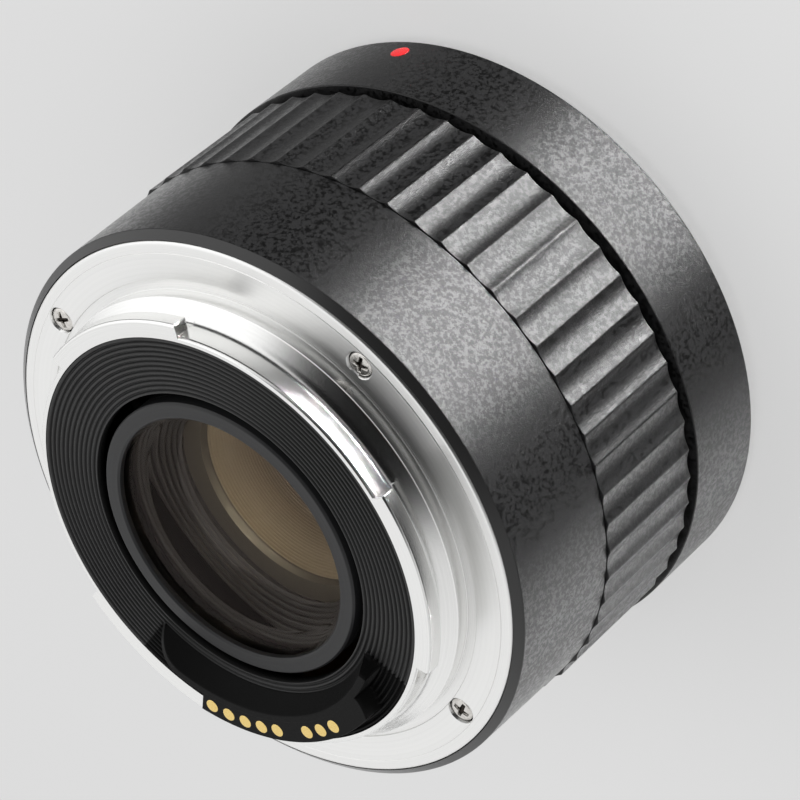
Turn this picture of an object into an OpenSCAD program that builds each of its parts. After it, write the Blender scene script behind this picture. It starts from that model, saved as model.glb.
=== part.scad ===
// Teleconverter for a bayonet camera, standing on its lens side.
// The origin is the centre of the lens mount face, +Z runs to the camera and +Y is the top.

/* [Body] */
// Distance between the two mount faces
body_len = 42; // [40:0.1:46]
// Set-back of the collar behind the lens mount face
collar_setback = 0.3; // [0.2:0.05:0.5]
// Far edge of the collar above the lens mount face
collar_top = 10.7; // [9.8:0.1:11.4]
// Width of the black groove between collar and grip
groove_w = 1; // [0.6:0.1:1.4]
// Length of the grip
grip_len = 15; // [12:0.25:17]
// Step from the barrel up to the front collar
collar_step = 0.7; // [0.5:0.05:1]
// Step from the smooth rim up to the barrel
barrel_step = 0.55; // [0.4:0.05:0.8]
// Gain of barrel radius from the rim to the grip
barrel_taper = 0.2; // [0:0.05:0.4]
// Height of the smooth rim beside the camera mount
rim_h = 0.93; // [0.7:0.05:1.1]
// Width of the rim's slope outside the flange
rim_w = 0.45; // [0.3:0.05:0.6]

/* [Grip] */
// Number of flutes round the grip
flute_count = 60; // [48:1:64]
// Height of the ribs above the barrel
rib_h = 0.55; // [0.4:0.05:0.65]
// Radius of the round bottom of a flute
flute_r = 1.95; // [1.7:0.05:2.1]

/* [Mounts] */
// Radius of the register that centres the converter in the camera
register_r = 27; // [25:0.1:29]
// Width of the camera mount's flange outside the register
flange_w = 5.5; // [5.2:0.05:6]
// Clearance of the three lugs inside the register
lug_clear = 0.45; // [0.3:0.05:0.6]
// Thickness of the three lugs
lug_h = 1.8; // [1.5:0.1:2]
// Height of the lugs' top face above the camera mount face
lug_top = 5.7; // [5.3:0.05:6.2]
// Drop from the register to the neck behind the lugs
neck_step = 1.8; // [1.6:0.05:2]
// Wall of the neck round the rear bore
neck_wall = 0.66; // [0.5:0.02:0.8]
// Reach of the lens mount's claws into its throat
claw_reach = 1.55; // [1.3:0.05:1.7]
// Distance of the mount screws outside the register
screw_out = 2.55; // [2.4:0.05:2.7]
// Radius of a mount screw's head
screw_head_r = 1.38; // [1.2:0.02:1.5]

/* [Contacts] */
// Distance of the contacts inside the rear bore
contact_in = 2.34; // [2.2:0.02:2.5]
// Angle between neighbouring contacts
contact_step = 5.875; // [5.7:0.025:6]
// Height of the contact platform above the camera mount face
contact_h = 8; // [7.5:0.05:8.5]
// Radius of a gold contact pad
pad_r = 0.78; // [0.6:0.02:0.84]
// Travel of a sprung contact pin
pin_travel = 1; // [0.6:0.1:1.2]

/* [Optics] */
// Room between the contact block's foot and the lens tube
tube_room = 2.3; // [2:0.05:2.6]
// Wall of the lens tube
tube_wall = 1; // [0.8:0.05:1.2]
// Width of the rear retaining ring's face
ring_face = 1.95; // [1.7:0.05:2.2]
// Pitch of the light-trap grooves
ridge_pitch = 0.55; // [0.5:0.05:0.7]
// Depth of the light-trap grooves
ridge_depth = 0.35; // [0.2:0.05:0.4]

/* [Release] */
// Radius of the lock pin
lock_r = 1.2; // [1:0.05:1.25]
// Length of lock pin standing out of the lens mount face
lock_out = 1.3; // [1:0.1:1.5]
// Travel of the release slider
release_travel = 2; // [1.6:0.1:2.2]

/* [Hidden] */
$fn = 96;

eps = 0.01;
over = 1;
seat_gap = 0.05;
slide_gap = 0.05;
run_gap = 0.3;
press_gap = 0.02;
thread_free = 0.2;
pie_r = 90;
glass_fn = 300;
ball_fn = 48;

paint_black = [0.1, 0.1, 0.1];
anodised = [0.16, 0.16, 0.17];
chrome = [0.82, 0.82, 0.82];
steel = [0.66, 0.66, 0.68];
plastic_black = [0.12, 0.12, 0.12];
gold = [0.88, 0.76, 0.42];
red = [0.8, 0.08, 0.1];
glass = [0.6, 0.66, 0.7, 0.5];
bronze = [0.62, 0.47, 0.28];
board_green = [0.1, 0.3, 0.18];
chip_black = [0.08, 0.08, 0.08];
flex_amber = [0.72, 0.45, 0.14];

// Outer shells, built out from the camera mount's flange
flange_r = register_r + flange_w;
rim_mid_r = flange_r + rim_w;
barrel_end_r = rim_mid_r + barrel_step;
barrel_r = barrel_end_r + barrel_taper;
collar_r = barrel_r + collar_step;
edge_break = 0.15;
groove_top = collar_top + groove_w;
grip_top = groove_top + grip_len;
barrel_foot = grip_top + seat_gap;
flange_h = 1.7;
flange_under = body_len - flange_h;
rim_foot = body_len - rim_h;
rim_sink = 0.25;
rim_top = body_len - rim_sink;
rim_slope = 0.42;
rim_mid = rim_foot + rim_slope;
rim_lip = 0.1;

// Screws
screw_angles = [45, 135, 225, 315];
screw_orbit = register_r + screw_out;
screw_turn = 1 / 3;
head_h = 0.9;
head_sink = 0.06;
counterbore_gap = 0.16;
shank_r = 0.78;
shank_len = 4.6;
thread_r = shank_r + press_gap;
small_shank_r = 0.5;
small_head_r = 0.95;
small_head_h = 0.8;
small_len = 3;
recess_share = [1.3, 0.28, 0.55];

// Lens mount
throat_r = register_r + slide_gap;
throat_relief = 0.4;
throat_back_r = throat_r + throat_relief;
skirt_wall = 1.2;
skirt_r = throat_r + skirt_wall;
lens_flange_step = 0.5;
lens_flange_r = flange_r - lens_flange_step;
lens_flange_h = 1.6;
lens_flange_bevel = 0.3;
claw_r = throat_r - claw_reach;
claw_root = 0.1;
claw_foot = 1.75;
claw_h = 1.85;
claw_top = claw_foot + claw_h;
skirt_top = claw_top + seat_gap;
leaf_h = 0.22;
leaf_edge = 0.25;
leaf_in_r = claw_r + leaf_edge;
leaf_out_r = throat_r - edge_break;
leaf_half_angle = 13;

// Camera mount
lug_angles = [[-27, 21.5], [84, 131], [204.5, 252]];
spigot_step = 0.55;
spigot_r = register_r + spigot_step;
spigot_h = 1.5;
spigot_under = flange_under - spigot_h;
relief_w = 1.1;
relief_h = 0.1;
bevel_w = 1.3;
bevel_drop = 0.17;
bearing_in_r = register_r + relief_w;
bearing_out_r = flange_r - bevel_w;
register_h = 1.5;
register_top = body_len + register_h;
neck_r = register_r - neck_step;
rear_bore_r = neck_r - neck_wall;
cone_h = 0.7;
cone_mid_r = register_r - neck_step / 2;
cone_mid = register_top + cone_h;
neck_foot = cone_mid + cone_h;
bayonet_top = body_len + lug_top;
lug_r = register_r - lug_clear;
lug_foot = bayonet_top - lug_h;
lug_chamfer = 0.2;
lug_root = neck_wall / 2;
slot_clear = 0.15;
slot_r = lock_r + slot_clear;
slot_depth = 1.4;
slot_half = 0.6;

// Contacts, counted in steps from the first one with one step left free
contact_orbit = rear_bore_r - contact_in;
contact_slots = [0, 1, 2, 3, 4, 6, 7, 8];
first_contact_angle = -110;
pad_depth = 1.8;

// Chassis tube
shell_lap = 1;
chassis_r = flange_r - shell_lap;
chassis_wall = 1.9;
chassis_in_r = chassis_r - chassis_wall;
shell_in_r = chassis_r + seat_gap;
shoulder_h = 0.9;
shoulder_r = chassis_r + shoulder_h;
front_ring_in_r = skirt_r + seat_gap;
front_ring_end = 0.4;
front_ring_top = lens_flange_h + shank_len + front_ring_end;
rear_ring_in_r = spigot_r + seat_gap;
rear_ring_end = 0.7;
rear_ring_foot = flange_under - shank_len - rear_ring_end;
block_overhang = 2.5;
front_block_r = contact_orbit + block_overhang;
ledge_gap = 0.8;
ledge_in_r = front_block_r + ledge_gap;
shield_room = 3.6;
ledge_z = front_ring_top + shield_room;
ledge_h = 1.6;
ledge_top = ledge_z + ledge_h;

// Index dots
dot_r = 1.05;
dot_depth = 0.5;
dot_proud = 0.08;
lens_dot_angle = 90.5;
lens_dot_z = 2.75;
camera_dot_angle = 150;
camera_dot_back = 3.2;
camera_dot_z = body_len - camera_dot_back;

// Rear contact block
block_angles = [-136.7, -36];
platform_angles = [-114, -47];
platform_set = 2;
platform_in_r = contact_orbit - platform_set;
platform_lip = 1.3;
platform_out_r = contact_orbit + platform_lip;
platform_z = body_len + contact_h;
slope_w = 1.3;
slope_wall = 0.9;
slope_foot_r = platform_in_r - slope_w;
block_gap = 0.14;
block_r = rear_bore_r - block_gap;
deck_sink = 0.35;
block_deck = bayonet_top - deck_sink;
block_rise = 2.5;
block_under = body_len + block_rise;
block_wall_set = 0.6;
block_wall_r = contact_orbit + block_wall_set;
end_tilt = 28;
end_lip = 0.12;
end_cut = 24;

// Foot ring that carries the baffle and the contact block
foot_h = 1.25;
foot_top = spigot_under - seat_gap;
foot_under = foot_top - foot_h;
foot_gap = 0.25;
foot_r = spigot_r - foot_gap;
foot_screw_in = 1.3;
foot_screw_orbit = foot_r - foot_screw_in;
baffle_screw_angles = [10, 90, 170];
block_screw_angles = [-125, -45];

// Lens tube
tube_r = slope_foot_r - tube_room;
tube_in_r = tube_r - tube_wall;
rear_clear_r = tube_r - ring_face;
tube_front_step = 1.4;
tube_front_r = tube_r - tube_front_step;
tube_front_wall = 1.6;
tube_front_in_r = tube_front_r - tube_front_wall;
tube_lip_w = 3.2;
tube_lip_r = tube_in_r - tube_lip_w;
tube_lip_h = 1;
tube_flange_w = 4.2;
tube_flange_r = tube_r + tube_flange_w;
tube_flange_h = 2;
tube_screw_out = 2.2;
tube_screw_orbit = tube_r + tube_screw_out;
tube_screw_angles = [30, 150, 270];
tube_front_z = ledge_z + run_gap;

// Rear baffle, dished towards the glass
baffle_cut_gap = 0.8;
baffle_cut = [block_angles[0] - baffle_cut_gap, block_angles[1] + baffle_cut_gap];
baffle_r = rear_bore_r - seat_gap;
baffle_air = 1.12;
baffle_in_r = tube_r + baffle_air;
baffle_wall = 0.9;
baffle_outer_z = bayonet_top - seat_gap;
baffle_dish = 0.4;
baffle_inner_z = bayonet_top - baffle_dish;
baffle_plate_h = 1.2;
baffle_land = 0.2;
baffle_lip = 0.1;
baffle_ridges = floor((baffle_r - baffle_in_r - baffle_land - baffle_lip) / ridge_pitch);
ridge_in_step = 0.15;
slope_foot_z = baffle_inner_z + seat_gap;

// Glass, from the lens side to the camera side
glass_gap = 0.06;
cap_inset = 0.35;
front_sd = tube_front_in_r - seat_gap;
rear_sd = tube_in_r - seat_gap;
ring_lip = 1.4;
front_clear_r = tube_front_in_r - ring_lip;
ring_bevel = 0.25;
front_ring_h = 1.6;
front_ring_z = tube_front_z - front_ring_h;
crown_seat = 2.1;
crown_foot = tube_front_z + crown_seat;
crown_h = 2.8;
flint_foot = crown_foot + crown_h;
flint_h = 2.2;
flint_top = flint_foot + flint_h;
middle_foot = flint_top + glass_gap;
middle_h = 2.6;
middle_top = middle_foot + middle_h;
front_air = 7.74;
tube_lip_z = middle_top + front_air;
rear_meniscus_z = tube_lip_z + tube_lip_h;
meniscus_h = 6.9;
rear_meniscus_top = rear_meniscus_z + meniscus_h;
rear_seat_rise = 1.9;
rear_ring_spigot_z = body_len + rear_seat_rise;
rear_element_h = 4.5;
rear_element_z = rear_ring_spigot_z - rear_element_h;
ring_grip = 1.65;
tube_rear_z = rear_ring_spigot_z + ring_grip;
rear_ring_top = block_deck;
rear_lip_h = 0.8;
rear_lip_z = rear_ring_top - rear_lip_h;
rear_step = 0.3;
rear_step_r = rear_clear_r + rear_step;
spacer_wall = 2.6;
spacer_flare = 1.4;
front_taper = 4;
crown_front_curve = 44;
cement_curve = 40;
flint_back_curve = 90;
middle_front_curve = 80;
middle_back_curve = 110;
meniscus_front_curve = 120;
meniscus_back_curve = 120;
rear_front_curve = 60;
rear_back_curve = 130;

// Front light shield
shield_gap = 1.1;
shield_r = front_ring_in_r - shield_gap;
shield_air = 0.8;
shield_in_r = tube_front_r + shield_air;
shield_h = 1.2;
shield_z = ledge_z - shield_h;
shield_land = 0.3;
shield_ridges = floor((ledge_in_r - shield_in_r - 2 * shield_land) / ridge_pitch);
shield_screw_orbit = (ledge_in_r + shield_r) / 2;
shield_screw_angles = [20, 140, 260];

// Front contact block
front_block_angles = [-119, -54];
shield_cut_angles = [-120.5, -52.5];
block_inset = 2.3;
front_block_in_r = contact_orbit - block_inset;
shield_cut_in_r = front_block_in_r - run_gap;
shield_cut_out_r = front_block_r + run_gap;
block_proud = 0.5;
front_block_z = shield_z - block_proud;
front_block_h = 6.5;
front_block_top = front_block_z + front_block_h;
ear_angles = [-133, -40];
ear_inset = 1.6;
ear_in_r = contact_orbit - ear_inset;
ear_z = ledge_z + seat_gap;
ear_h = 2.35;
ear_top = ear_z + ear_h;
ear_screw_out = 0.4;
ear_screw_orbit = contact_orbit + ear_screw_out;
ear_screw_angles = [-126, -47];

// Sprung pins in the front contact block
probe_r = 0.6;
probe_out = 1.5;
probe_tip = front_block_z - probe_out;
probe_lip = 1.8;
probe_lip_top = front_block_z + probe_lip;
probe_lip_r = probe_r + slide_gap;
probe_collar_r = 0.92;
probe_collar_h = 0.7;
probe_collar_z = probe_lip_top + run_gap;
probe_bore_gap = 0.06;
probe_bore_r = probe_collar_r + probe_bore_gap;
probe_tail = 1.2;
probe_top = front_block_top - pin_travel - probe_tail;
probe_coil_r = 0.8;
probe_wire_r = 0.09;
coil_turns = 5;

// Circuit board, chips and flexible circuit
board_h = 0.9;
board_angles = [-150, -30];
board_depth = 4.4;
board_in_r = contact_orbit - board_depth;
board_r = ledge_in_r - run_gap;
board_top = front_block_top + board_h;
chip_size = [5, 5, 1.1];
chip_set = 0.6;
chip_orbit = contact_orbit - chip_set;
chip_angles = [-138, -42];
flex_set = 0.7;
flex_r = contact_orbit - flex_set;
flex_t = 0.15;
flex_angles = [-95, -85];
flex_notch_angles = [-98, -82];
flex_notch_in_r = flex_r - flex_t - run_gap;
flex_notch_r = flex_r + flex_set;

// Web that carries the lens tube
web_room = 6.1;
web_z = board_top + web_room;
web_h = 2;
web_top = web_z + web_h;

// Lens release on the left side
lock_set = 1.75;
lock_orbit = chassis_r - lock_set;
lock_hole_r = lock_r + slide_gap;
lock_clear = 0.5;
lock_top = ledge_z - release_travel - lock_clear;
lock_chamfer = 0.3;
lock_coil_gap = 0.35;
lock_coil_r = lock_r + lock_coil_gap;
lock_wire_r = 0.2;
arm_half = 2.2;
arm_clear = 0.45;
arm_z = skirt_top + arm_clear;
arm_h = 1.4;
arm_top = arm_z + arm_h;
arm_lap = 1.55;
arm_in = lock_orbit - arm_lap;
pocket_half = arm_half + run_gap;
pocket_room = 1.2;
pocket_in = arm_in - pocket_room;
window_foot = arm_z - run_gap;
window_top = arm_top + release_travel + run_gap;
thumb_half = 4.2;
thumb_drop = 2.2;
thumb_foot = arm_z - thumb_drop;
thumb_h = 6.5;
thumb_t = 1.1;
thumb_in = collar_r + run_gap;
thumb_corner = 0.8;
thumb_rib_t = 0.35;
thumb_rib_w = 0.6;
thumb_rib_step = 1.3;
thumb_rib_edge = 1;
thumb_rib_foot = 1.05;
thumb_ribs = 4;

function polar(r, a) = [r * cos(a), r * sin(a)];
function contact_a(k) = first_contact_angle + contact_step * contact_slots[k];
function ridge_points(r0, r1, z0, z1, n, depth) = [
  for (i = [0 : 2 * n])
    let (t = i / (2 * n))
      [r0 + (r1 - r0) * t, z0 + (z1 - z0) * t - (i % 2 == 1 ? depth : 0)]
];

// Solid turned about the optical axis
module turned(points) {
  rotate_extrude()
    polygon(points);
}

// Plain ring about the optical axis
module ring(r_out, r_in, z0, z1) {
  turned([[r_in, z0], [r_out, z0], [r_out, z1], [r_in, z1]]);
}

// Slice of space between two angles
module pie(a0, a1, z0, z1) {
  translate([0, 0, z0])
    linear_extrude(z1 - z0)
      polygon([[0, 0], polar(pie_r, a0), polar(pie_r, (a0 + a1) / 2), polar(pie_r, a1)]);
}

// Part of a ring between two angles
module arc(r_out, r_in, z0, z1, span) {
  intersection() {
    ring(r_out, r_in, z0, z1);
    pie(span[0], span[1], z0 - eps, z1 + eps);
  }
}

// Place children on a circle at one angle
module at(orbit, a, z) {
  rotate([0, 0, a])
    translate([orbit, 0, z])
      children();
}

// Cross-head screw with its head's face at the origin and its shank below
module cross_screw(r_head, h_head, r_shank, length) {
  recess_l = recess_share[0] * r_head;
  recess_w = recess_share[1] * r_head;
  recess_d = recess_share[2] * h_head;
  difference() {
    turned([[0, -h_head - length], [r_shank, -h_head - length], [r_shank, -h_head],
      [r_head, -h_head], [r_head, -edge_break], [r_head - edge_break, 0], [0, 0]]);
    for (a = [0, 90])
      rotate([0, 0, a])
        translate([-recess_l / 2, -recess_w / 2, -recess_d])
          cube([recess_l, recess_w, recess_d + eps]);
  }
}

// Round dot set into a cylindrical wall at one angle
module dot_body(wall_r, a, z, r, depth, proud) {
  rotate([0, 0, a])
    translate([wall_r - depth, 0, z])
      rotate([0, 90, 0])
        cylinder(r = r, h = depth + proud);
}

// Coil spring along Z, drawn as one closed tube
module coil(coil_r, wire_r, z0, z1, turns) {
  segs = 12;
  sides = 5;
  rings = turns * segs;
  rise = (z1 - z0 - 2 * wire_r) / rings;
  points = [
    for (i = [0 : rings])
      for (j = [0 : sides - 1])
        let (a = 360 * i / segs, b = 360 * j / sides, r = coil_r + wire_r * cos(b))
          [r * cos(a), r * sin(a), z0 + wire_r + rise * i + wire_r * sin(b)]
  ];
  walls = [
    for (i = [0 : rings - 1])
      for (j = [0 : sides - 1])
        let (p = i * sides + j, q = i * sides + (j + 1) % sides)
          for (f = [[p, q + sides, q], [p, p + sides, q + sides]])
            f
  ];
  foot = [for (j = [0 : sides - 1]) j];
  head = [for (j = [sides - 1 : -1 : 0]) rings * sides + j];
  polyhedron(points = points, faces = concat(walls, [foot, head]));
}

// Bulge of glass on a flat end, pointing up from z
module glass_cap(r, sd, z) {
  depth = sqrt(r * r - sd * sd);
  intersection() {
    translate([0, 0, z - depth])
      sphere(r = r, $fn = glass_fn);
    translate([0, 0, z - eps])
      cylinder(r = sd, h = r);
  }
}

// Ball that hollows a flat end, open upwards at z
module glass_dish(r, sd, z) {
  depth = sqrt(r * r - sd * sd);
  translate([0, 0, z + depth])
    sphere(r = r, $fn = glass_fn);
}

// Glass disc between two seats
module blank(sd, z0, z1) {
  translate([0, 0, z0])
    cylinder(r = sd, h = z1 - z0);
}

// Turn children over about a level
module flipped(z) {
  translate([0, 0, z])
    rotate([180, 0, 0])
      children();
}

module front_collar() {
  color(paint_black)
    difference() {
      turned([[shell_in_r, lens_flange_h], [lens_flange_r + seat_gap, lens_flange_h],
        [lens_flange_r + seat_gap, collar_setback], [collar_r - edge_break, collar_setback],
        [collar_r, collar_setback + edge_break], [collar_r, collar_top - edge_break],
        [collar_r - edge_break, collar_top], [shell_in_r, collar_top]]);
      dot_body(collar_r, lens_dot_angle, lens_dot_z, dot_r + press_gap, dot_depth, over);
      translate([-collar_r - over, -pocket_half, window_foot])
        cube([collar_r - shell_in_r + 2 * over, 2 * pocket_half, window_top - window_foot]);
    }
}

module grip_sleeve() {
  crest_r = barrel_r + rib_h;
  color(paint_black)
    difference() {
      ring(crest_r, shell_in_r, groove_top, grip_top);
      for (i = [0 : flute_count - 1])
        at(barrel_r + flute_r, 360 * i / flute_count, groove_top - eps)
          cylinder(r = flute_r, h = grip_len + 2 * eps);
    }
}

module rear_barrel() {
  color(paint_black)
    difference() {
      turned([[shell_in_r, barrel_foot], [barrel_r, barrel_foot], [barrel_end_r, rim_foot],
        [rim_mid_r, rim_mid], [flange_r + rim_lip, rim_top], [flange_r + seat_gap, rim_top],
        [flange_r + seat_gap, flange_under], [shell_in_r, flange_under]]);
      dot_body(barrel_end_r, camera_dot_angle, camera_dot_z, dot_r + press_gap, dot_depth, over);
    }
}

module main_chassis() {
  color(anodised)
    difference() {
      turned([[front_ring_in_r, lens_flange_h], [chassis_r, lens_flange_h], [chassis_r, collar_top],
        [shoulder_r, collar_top], [shoulder_r, groove_top], [chassis_r, groove_top],
        [chassis_r, flange_under], [rear_ring_in_r, flange_under], [rear_ring_in_r, rear_ring_foot],
        [chassis_in_r, rear_ring_foot], [chassis_in_r, web_top], [tube_front_r + seat_gap, web_top],
        [tube_front_r + seat_gap, web_z], [chassis_in_r, web_z], [chassis_in_r, ledge_top],
        [ledge_in_r, ledge_top], [ledge_in_r, ledge_z], [chassis_in_r, ledge_z],
        [chassis_in_r, front_ring_top], [front_ring_in_r, front_ring_top]]);
      for (a = screw_angles) {
        at(screw_orbit, a, lens_flange_h - eps)
          cylinder(r = thread_r, h = shank_len + eps);
        at(screw_orbit, a, flange_under - shank_len)
          cylinder(r = thread_r, h = shank_len + eps);
      }
      for (a = shield_screw_angles)
        at(shield_screw_orbit, a, ledge_z - eps)
          cylinder(r = small_shank_r + press_gap, h = ledge_h + 2 * eps);
      for (a = tube_screw_angles)
        at(tube_screw_orbit, a, web_z - eps)
          cylinder(r = small_shank_r + press_gap, h = web_h + 2 * eps);
      at(lock_orbit, 180, lens_flange_h - eps)
        cylinder(r = lock_hole_r, h = front_ring_top);
      translate([-chassis_r - over, -pocket_half, window_foot])
        cube([chassis_r + over - pocket_in, 2 * pocket_half, ledge_z - window_foot]);
      arc(flex_notch_r, flex_notch_in_r, web_z - eps, web_top + eps, flex_notch_angles);
    }
}

module lens_index_dot() {
  color(red)
    dot_body(collar_r, lens_dot_angle, lens_dot_z, dot_r, dot_depth, dot_proud);
}

module camera_index_dot() {
  color(red)
    dot_body(barrel_end_r, camera_dot_angle, camera_dot_z, dot_r, dot_depth, dot_proud);
}

module camera_bayonet() {
  color(chrome)
    difference() {
      union() {
        turned([[rear_bore_r, spigot_under], [spigot_r, spigot_under], [spigot_r, flange_under],
          [flange_r, flange_under], [flange_r, body_len - bevel_drop], [bearing_out_r, body_len],
          [bearing_in_r, body_len], [bearing_in_r, body_len - relief_h], [register_r, body_len - relief_h],
          [register_r, register_top], [cone_mid_r, cone_mid], [neck_r, neck_foot], [neck_r, bayonet_top],
          [rear_bore_r, bayonet_top]]);
        for (span = lug_angles)
          intersection() {
            turned([[neck_r - lug_root, lug_foot], [lug_r, lug_foot], [lug_r, bayonet_top - lug_chamfer],
              [lug_r - lug_chamfer, bayonet_top], [neck_r - lug_root, bayonet_top]]);
            pie(span[0], span[1], lug_foot - eps, bayonet_top + eps);
          }
      }
      for (a = screw_angles)
        at(screw_orbit, a, 0) {
          translate([0, 0, flange_under - eps])
            cylinder(r = thread_r, h = flange_h + over);
          translate([0, 0, body_len - head_sink - head_h])
            cylinder(r = screw_head_r + counterbore_gap, h = head_h + over);
        }
      for (a = concat(baffle_screw_angles, block_screw_angles))
        at(foot_screw_orbit, a, spigot_under - eps)
          cylinder(r = small_shank_r + press_gap, h = small_len - foot_h);
      for (y = [-slot_half, slot_half])
        translate([-lock_orbit, y, body_len - slot_depth])
          cylinder(r = slot_r, h = slot_depth + over);
      translate([-lock_orbit - slot_r, -slot_half, body_len - slot_depth])
        cube([2 * slot_r, 2 * slot_half, slot_depth + over]);
    }
}

module camera_bayonet_screws() {
  color(steel)
    for (a = screw_angles)
      at(screw_orbit, a, body_len - head_sink)
        rotate([0, 0, a * screw_turn])
          cross_screw(screw_head_r, head_h, shank_r, shank_len + flange_h - head_h - head_sink - thread_free);
}

module rear_baffle() {
  rim = [[baffle_r - baffle_wall, foot_under], [foot_r, foot_under], [foot_r, foot_top],
    [baffle_r, foot_top], [baffle_r, baffle_outer_z]];
  traps = ridge_points(baffle_r - baffle_land, baffle_in_r + baffle_lip, baffle_outer_z, baffle_inner_z,
    baffle_ridges, ridge_depth);
  back = [[baffle_in_r, baffle_inner_z], [baffle_in_r, baffle_inner_z - baffle_plate_h],
    [baffle_r - baffle_wall, baffle_inner_z - baffle_plate_h]];
  color(plastic_black)
    difference() {
      turned(concat(rim, traps, back));
      intersection() {
        ring(foot_r + over, slope_foot_r - ridge_in_step, foot_under - over, bayonet_top + over);
        pie(baffle_cut[0], baffle_cut[1], foot_under - 2 * over, bayonet_top + 2 * over);
      }
      for (a = baffle_screw_angles)
        at(foot_screw_orbit, a, foot_under - eps)
          cylinder(r = small_shank_r + press_gap, h = foot_h + 2 * eps);
    }
}

module rear_baffle_screws() {
  color(steel)
    for (a = baffle_screw_angles)
      at(foot_screw_orbit, a, foot_under - small_head_h)
        flipped(0)
          cross_screw(small_head_r, small_head_h, small_shank_r, small_len - thread_free);
}

module contact_block() {
  wall_r = platform_in_r + slope_wall;
  color(plastic_black)
    difference() {
      union() {
        intersection() {
          turned([[slope_foot_r, block_under], [slope_foot_r, slope_foot_z], [platform_in_r, platform_z],
            [wall_r, platform_z], [wall_r, block_deck], [block_r, block_deck], [block_r, foot_top],
            [foot_r, foot_top], [foot_r, foot_under], [block_wall_r, foot_under],
            [block_wall_r, block_under]]);
          pie(block_angles[0], block_angles[1], foot_under - over, platform_z + over);
        }
        arc(platform_out_r, wall_r - slope_wall / 2, block_deck - slope_wall, platform_z, platform_angles);
      }
      for (k = [0 : len(contact_slots) - 1])
        at(contact_orbit, contact_a(k), platform_z - pad_depth)
          cylinder(r = pad_r + press_gap, h = pad_depth + over);
      at(slope_foot_r, block_angles[0], slope_foot_z + end_lip)
        rotate([end_tilt, 0, 0])
          translate([-end_cut / 2, -end_cut / 4, 0])
            cube(end_cut);
      for (a = block_screw_angles)
        at(foot_screw_orbit, a, foot_under - eps)
          cylinder(r = small_shank_r + press_gap, h = foot_h + 2 * eps);
    }
}

module contact_block_screws() {
  color(steel)
    for (a = block_screw_angles)
      at(foot_screw_orbit, a, foot_under - small_head_h)
        flipped(0)
          cross_screw(small_head_r, small_head_h, small_shank_r, small_len - thread_free);
}

module rear_contacts() {
  color(gold)
    for (k = [0 : len(contact_slots) - 1])
      at(contact_orbit, contact_a(k), platform_z - pad_depth)
        cylinder(r = pad_r, h = pad_depth);
}

module optics_tube() {
  color(anodised)
    difference() {
      turned([[tube_front_in_r, tube_front_z], [tube_front_r, tube_front_z], [tube_front_r, web_top],
        [tube_flange_r, web_top], [tube_flange_r, web_top + tube_flange_h],
        [tube_r, web_top + tube_flange_h], [tube_r, tube_rear_z], [tube_in_r, tube_rear_z],
        [tube_in_r, tube_lip_z + tube_lip_h], [tube_lip_r, tube_lip_z + tube_lip_h],
        [tube_lip_r, tube_lip_z], [tube_front_in_r, tube_lip_z]]);
      for (a = tube_screw_angles)
        at(tube_screw_orbit, a, web_top - eps)
          cylinder(r = small_shank_r + press_gap, h = tube_flange_h + 2 * eps);
    }
}

module optics_tube_screws() {
  color(steel)
    for (a = tube_screw_angles)
      at(tube_screw_orbit, a, web_top + tube_flange_h + small_head_h)
        cross_screw(small_head_r, small_head_h, small_shank_r, tube_flange_h + web_h - thread_free);
}

module front_crown() {
  color(glass)
    union() {
      blank(front_sd, crown_foot, flint_foot);
      glass_cap(cement_curve, front_sd - cap_inset, flint_foot);
      flipped(crown_foot)
        glass_cap(crown_front_curve, front_clear_r - glass_gap, 0);
    }
}

module front_flint() {
  depth = sqrt(cement_curve * cement_curve - (front_sd - cap_inset) * (front_sd - cap_inset));
  color(glass)
    difference() {
      union() {
        blank(front_sd, flint_foot, flint_top);
        glass_cap(flint_back_curve, front_clear_r - glass_gap, flint_top);
      }
      translate([0, 0, flint_foot - depth])
        sphere(r = cement_curve, $fn = glass_fn);
    }
}

module middle_element() {
  color(glass)
    difference() {
      blank(front_sd, middle_foot, middle_top);
      glass_dish(middle_back_curve, front_clear_r - cap_inset, middle_top);
      flipped(middle_foot)
        glass_dish(middle_front_curve, front_clear_r, 0);
    }
}

module rear_meniscus() {
  color(glass)
    difference() {
      union() {
        blank(rear_sd, rear_meniscus_z, rear_meniscus_top);
        glass_cap(meniscus_back_curve, tube_lip_r + cap_inset, rear_meniscus_top);
      }
      flipped(rear_meniscus_z)
        glass_dish(meniscus_front_curve, tube_lip_r, 0);
    }
}

module rear_element() {
  color(glass)
    difference() {
      union() {
        blank(rear_sd, rear_element_z, rear_ring_spigot_z - glass_gap);
        blank(rear_step_r, rear_element_z + rear_element_h / 2, rear_lip_z - glass_gap);
        glass_cap(rear_back_curve, rear_clear_r - cap_inset, rear_lip_z - glass_gap);
      }
      flipped(rear_element_z)
        glass_dish(rear_front_curve, rear_sd - 2 * tube_wall, 0);
    }
}

module front_spacer() {
  foot = middle_top + glass_gap;
  head = tube_lip_z - glass_gap;
  traps = 2 * floor((head - foot) / ridge_pitch);
  color(anodised)
    turned(concat([[front_sd, head], [front_sd, foot]],
      [for (p = ridge_points(0, 1, 0, 0, traps, 1))
        [front_clear_r - front_taper * (1 - p[0]) - ridge_depth * p[1], foot + p[0] * (head - foot)]]));
}

module rear_spacer() {
  foot = rear_meniscus_top + glass_gap;
  head = rear_element_z - glass_gap;
  traps = floor((head - foot) / ridge_pitch);
  color(anodised)
    turned(concat([[rear_sd, head], [rear_sd, foot]],
      [for (p = ridge_points(0, 1, 0, 0, traps, 1))
        [rear_sd - spacer_wall + spacer_flare * p[0] - ridge_depth * p[1], foot + p[0] * (head - foot)]]));
}

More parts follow.
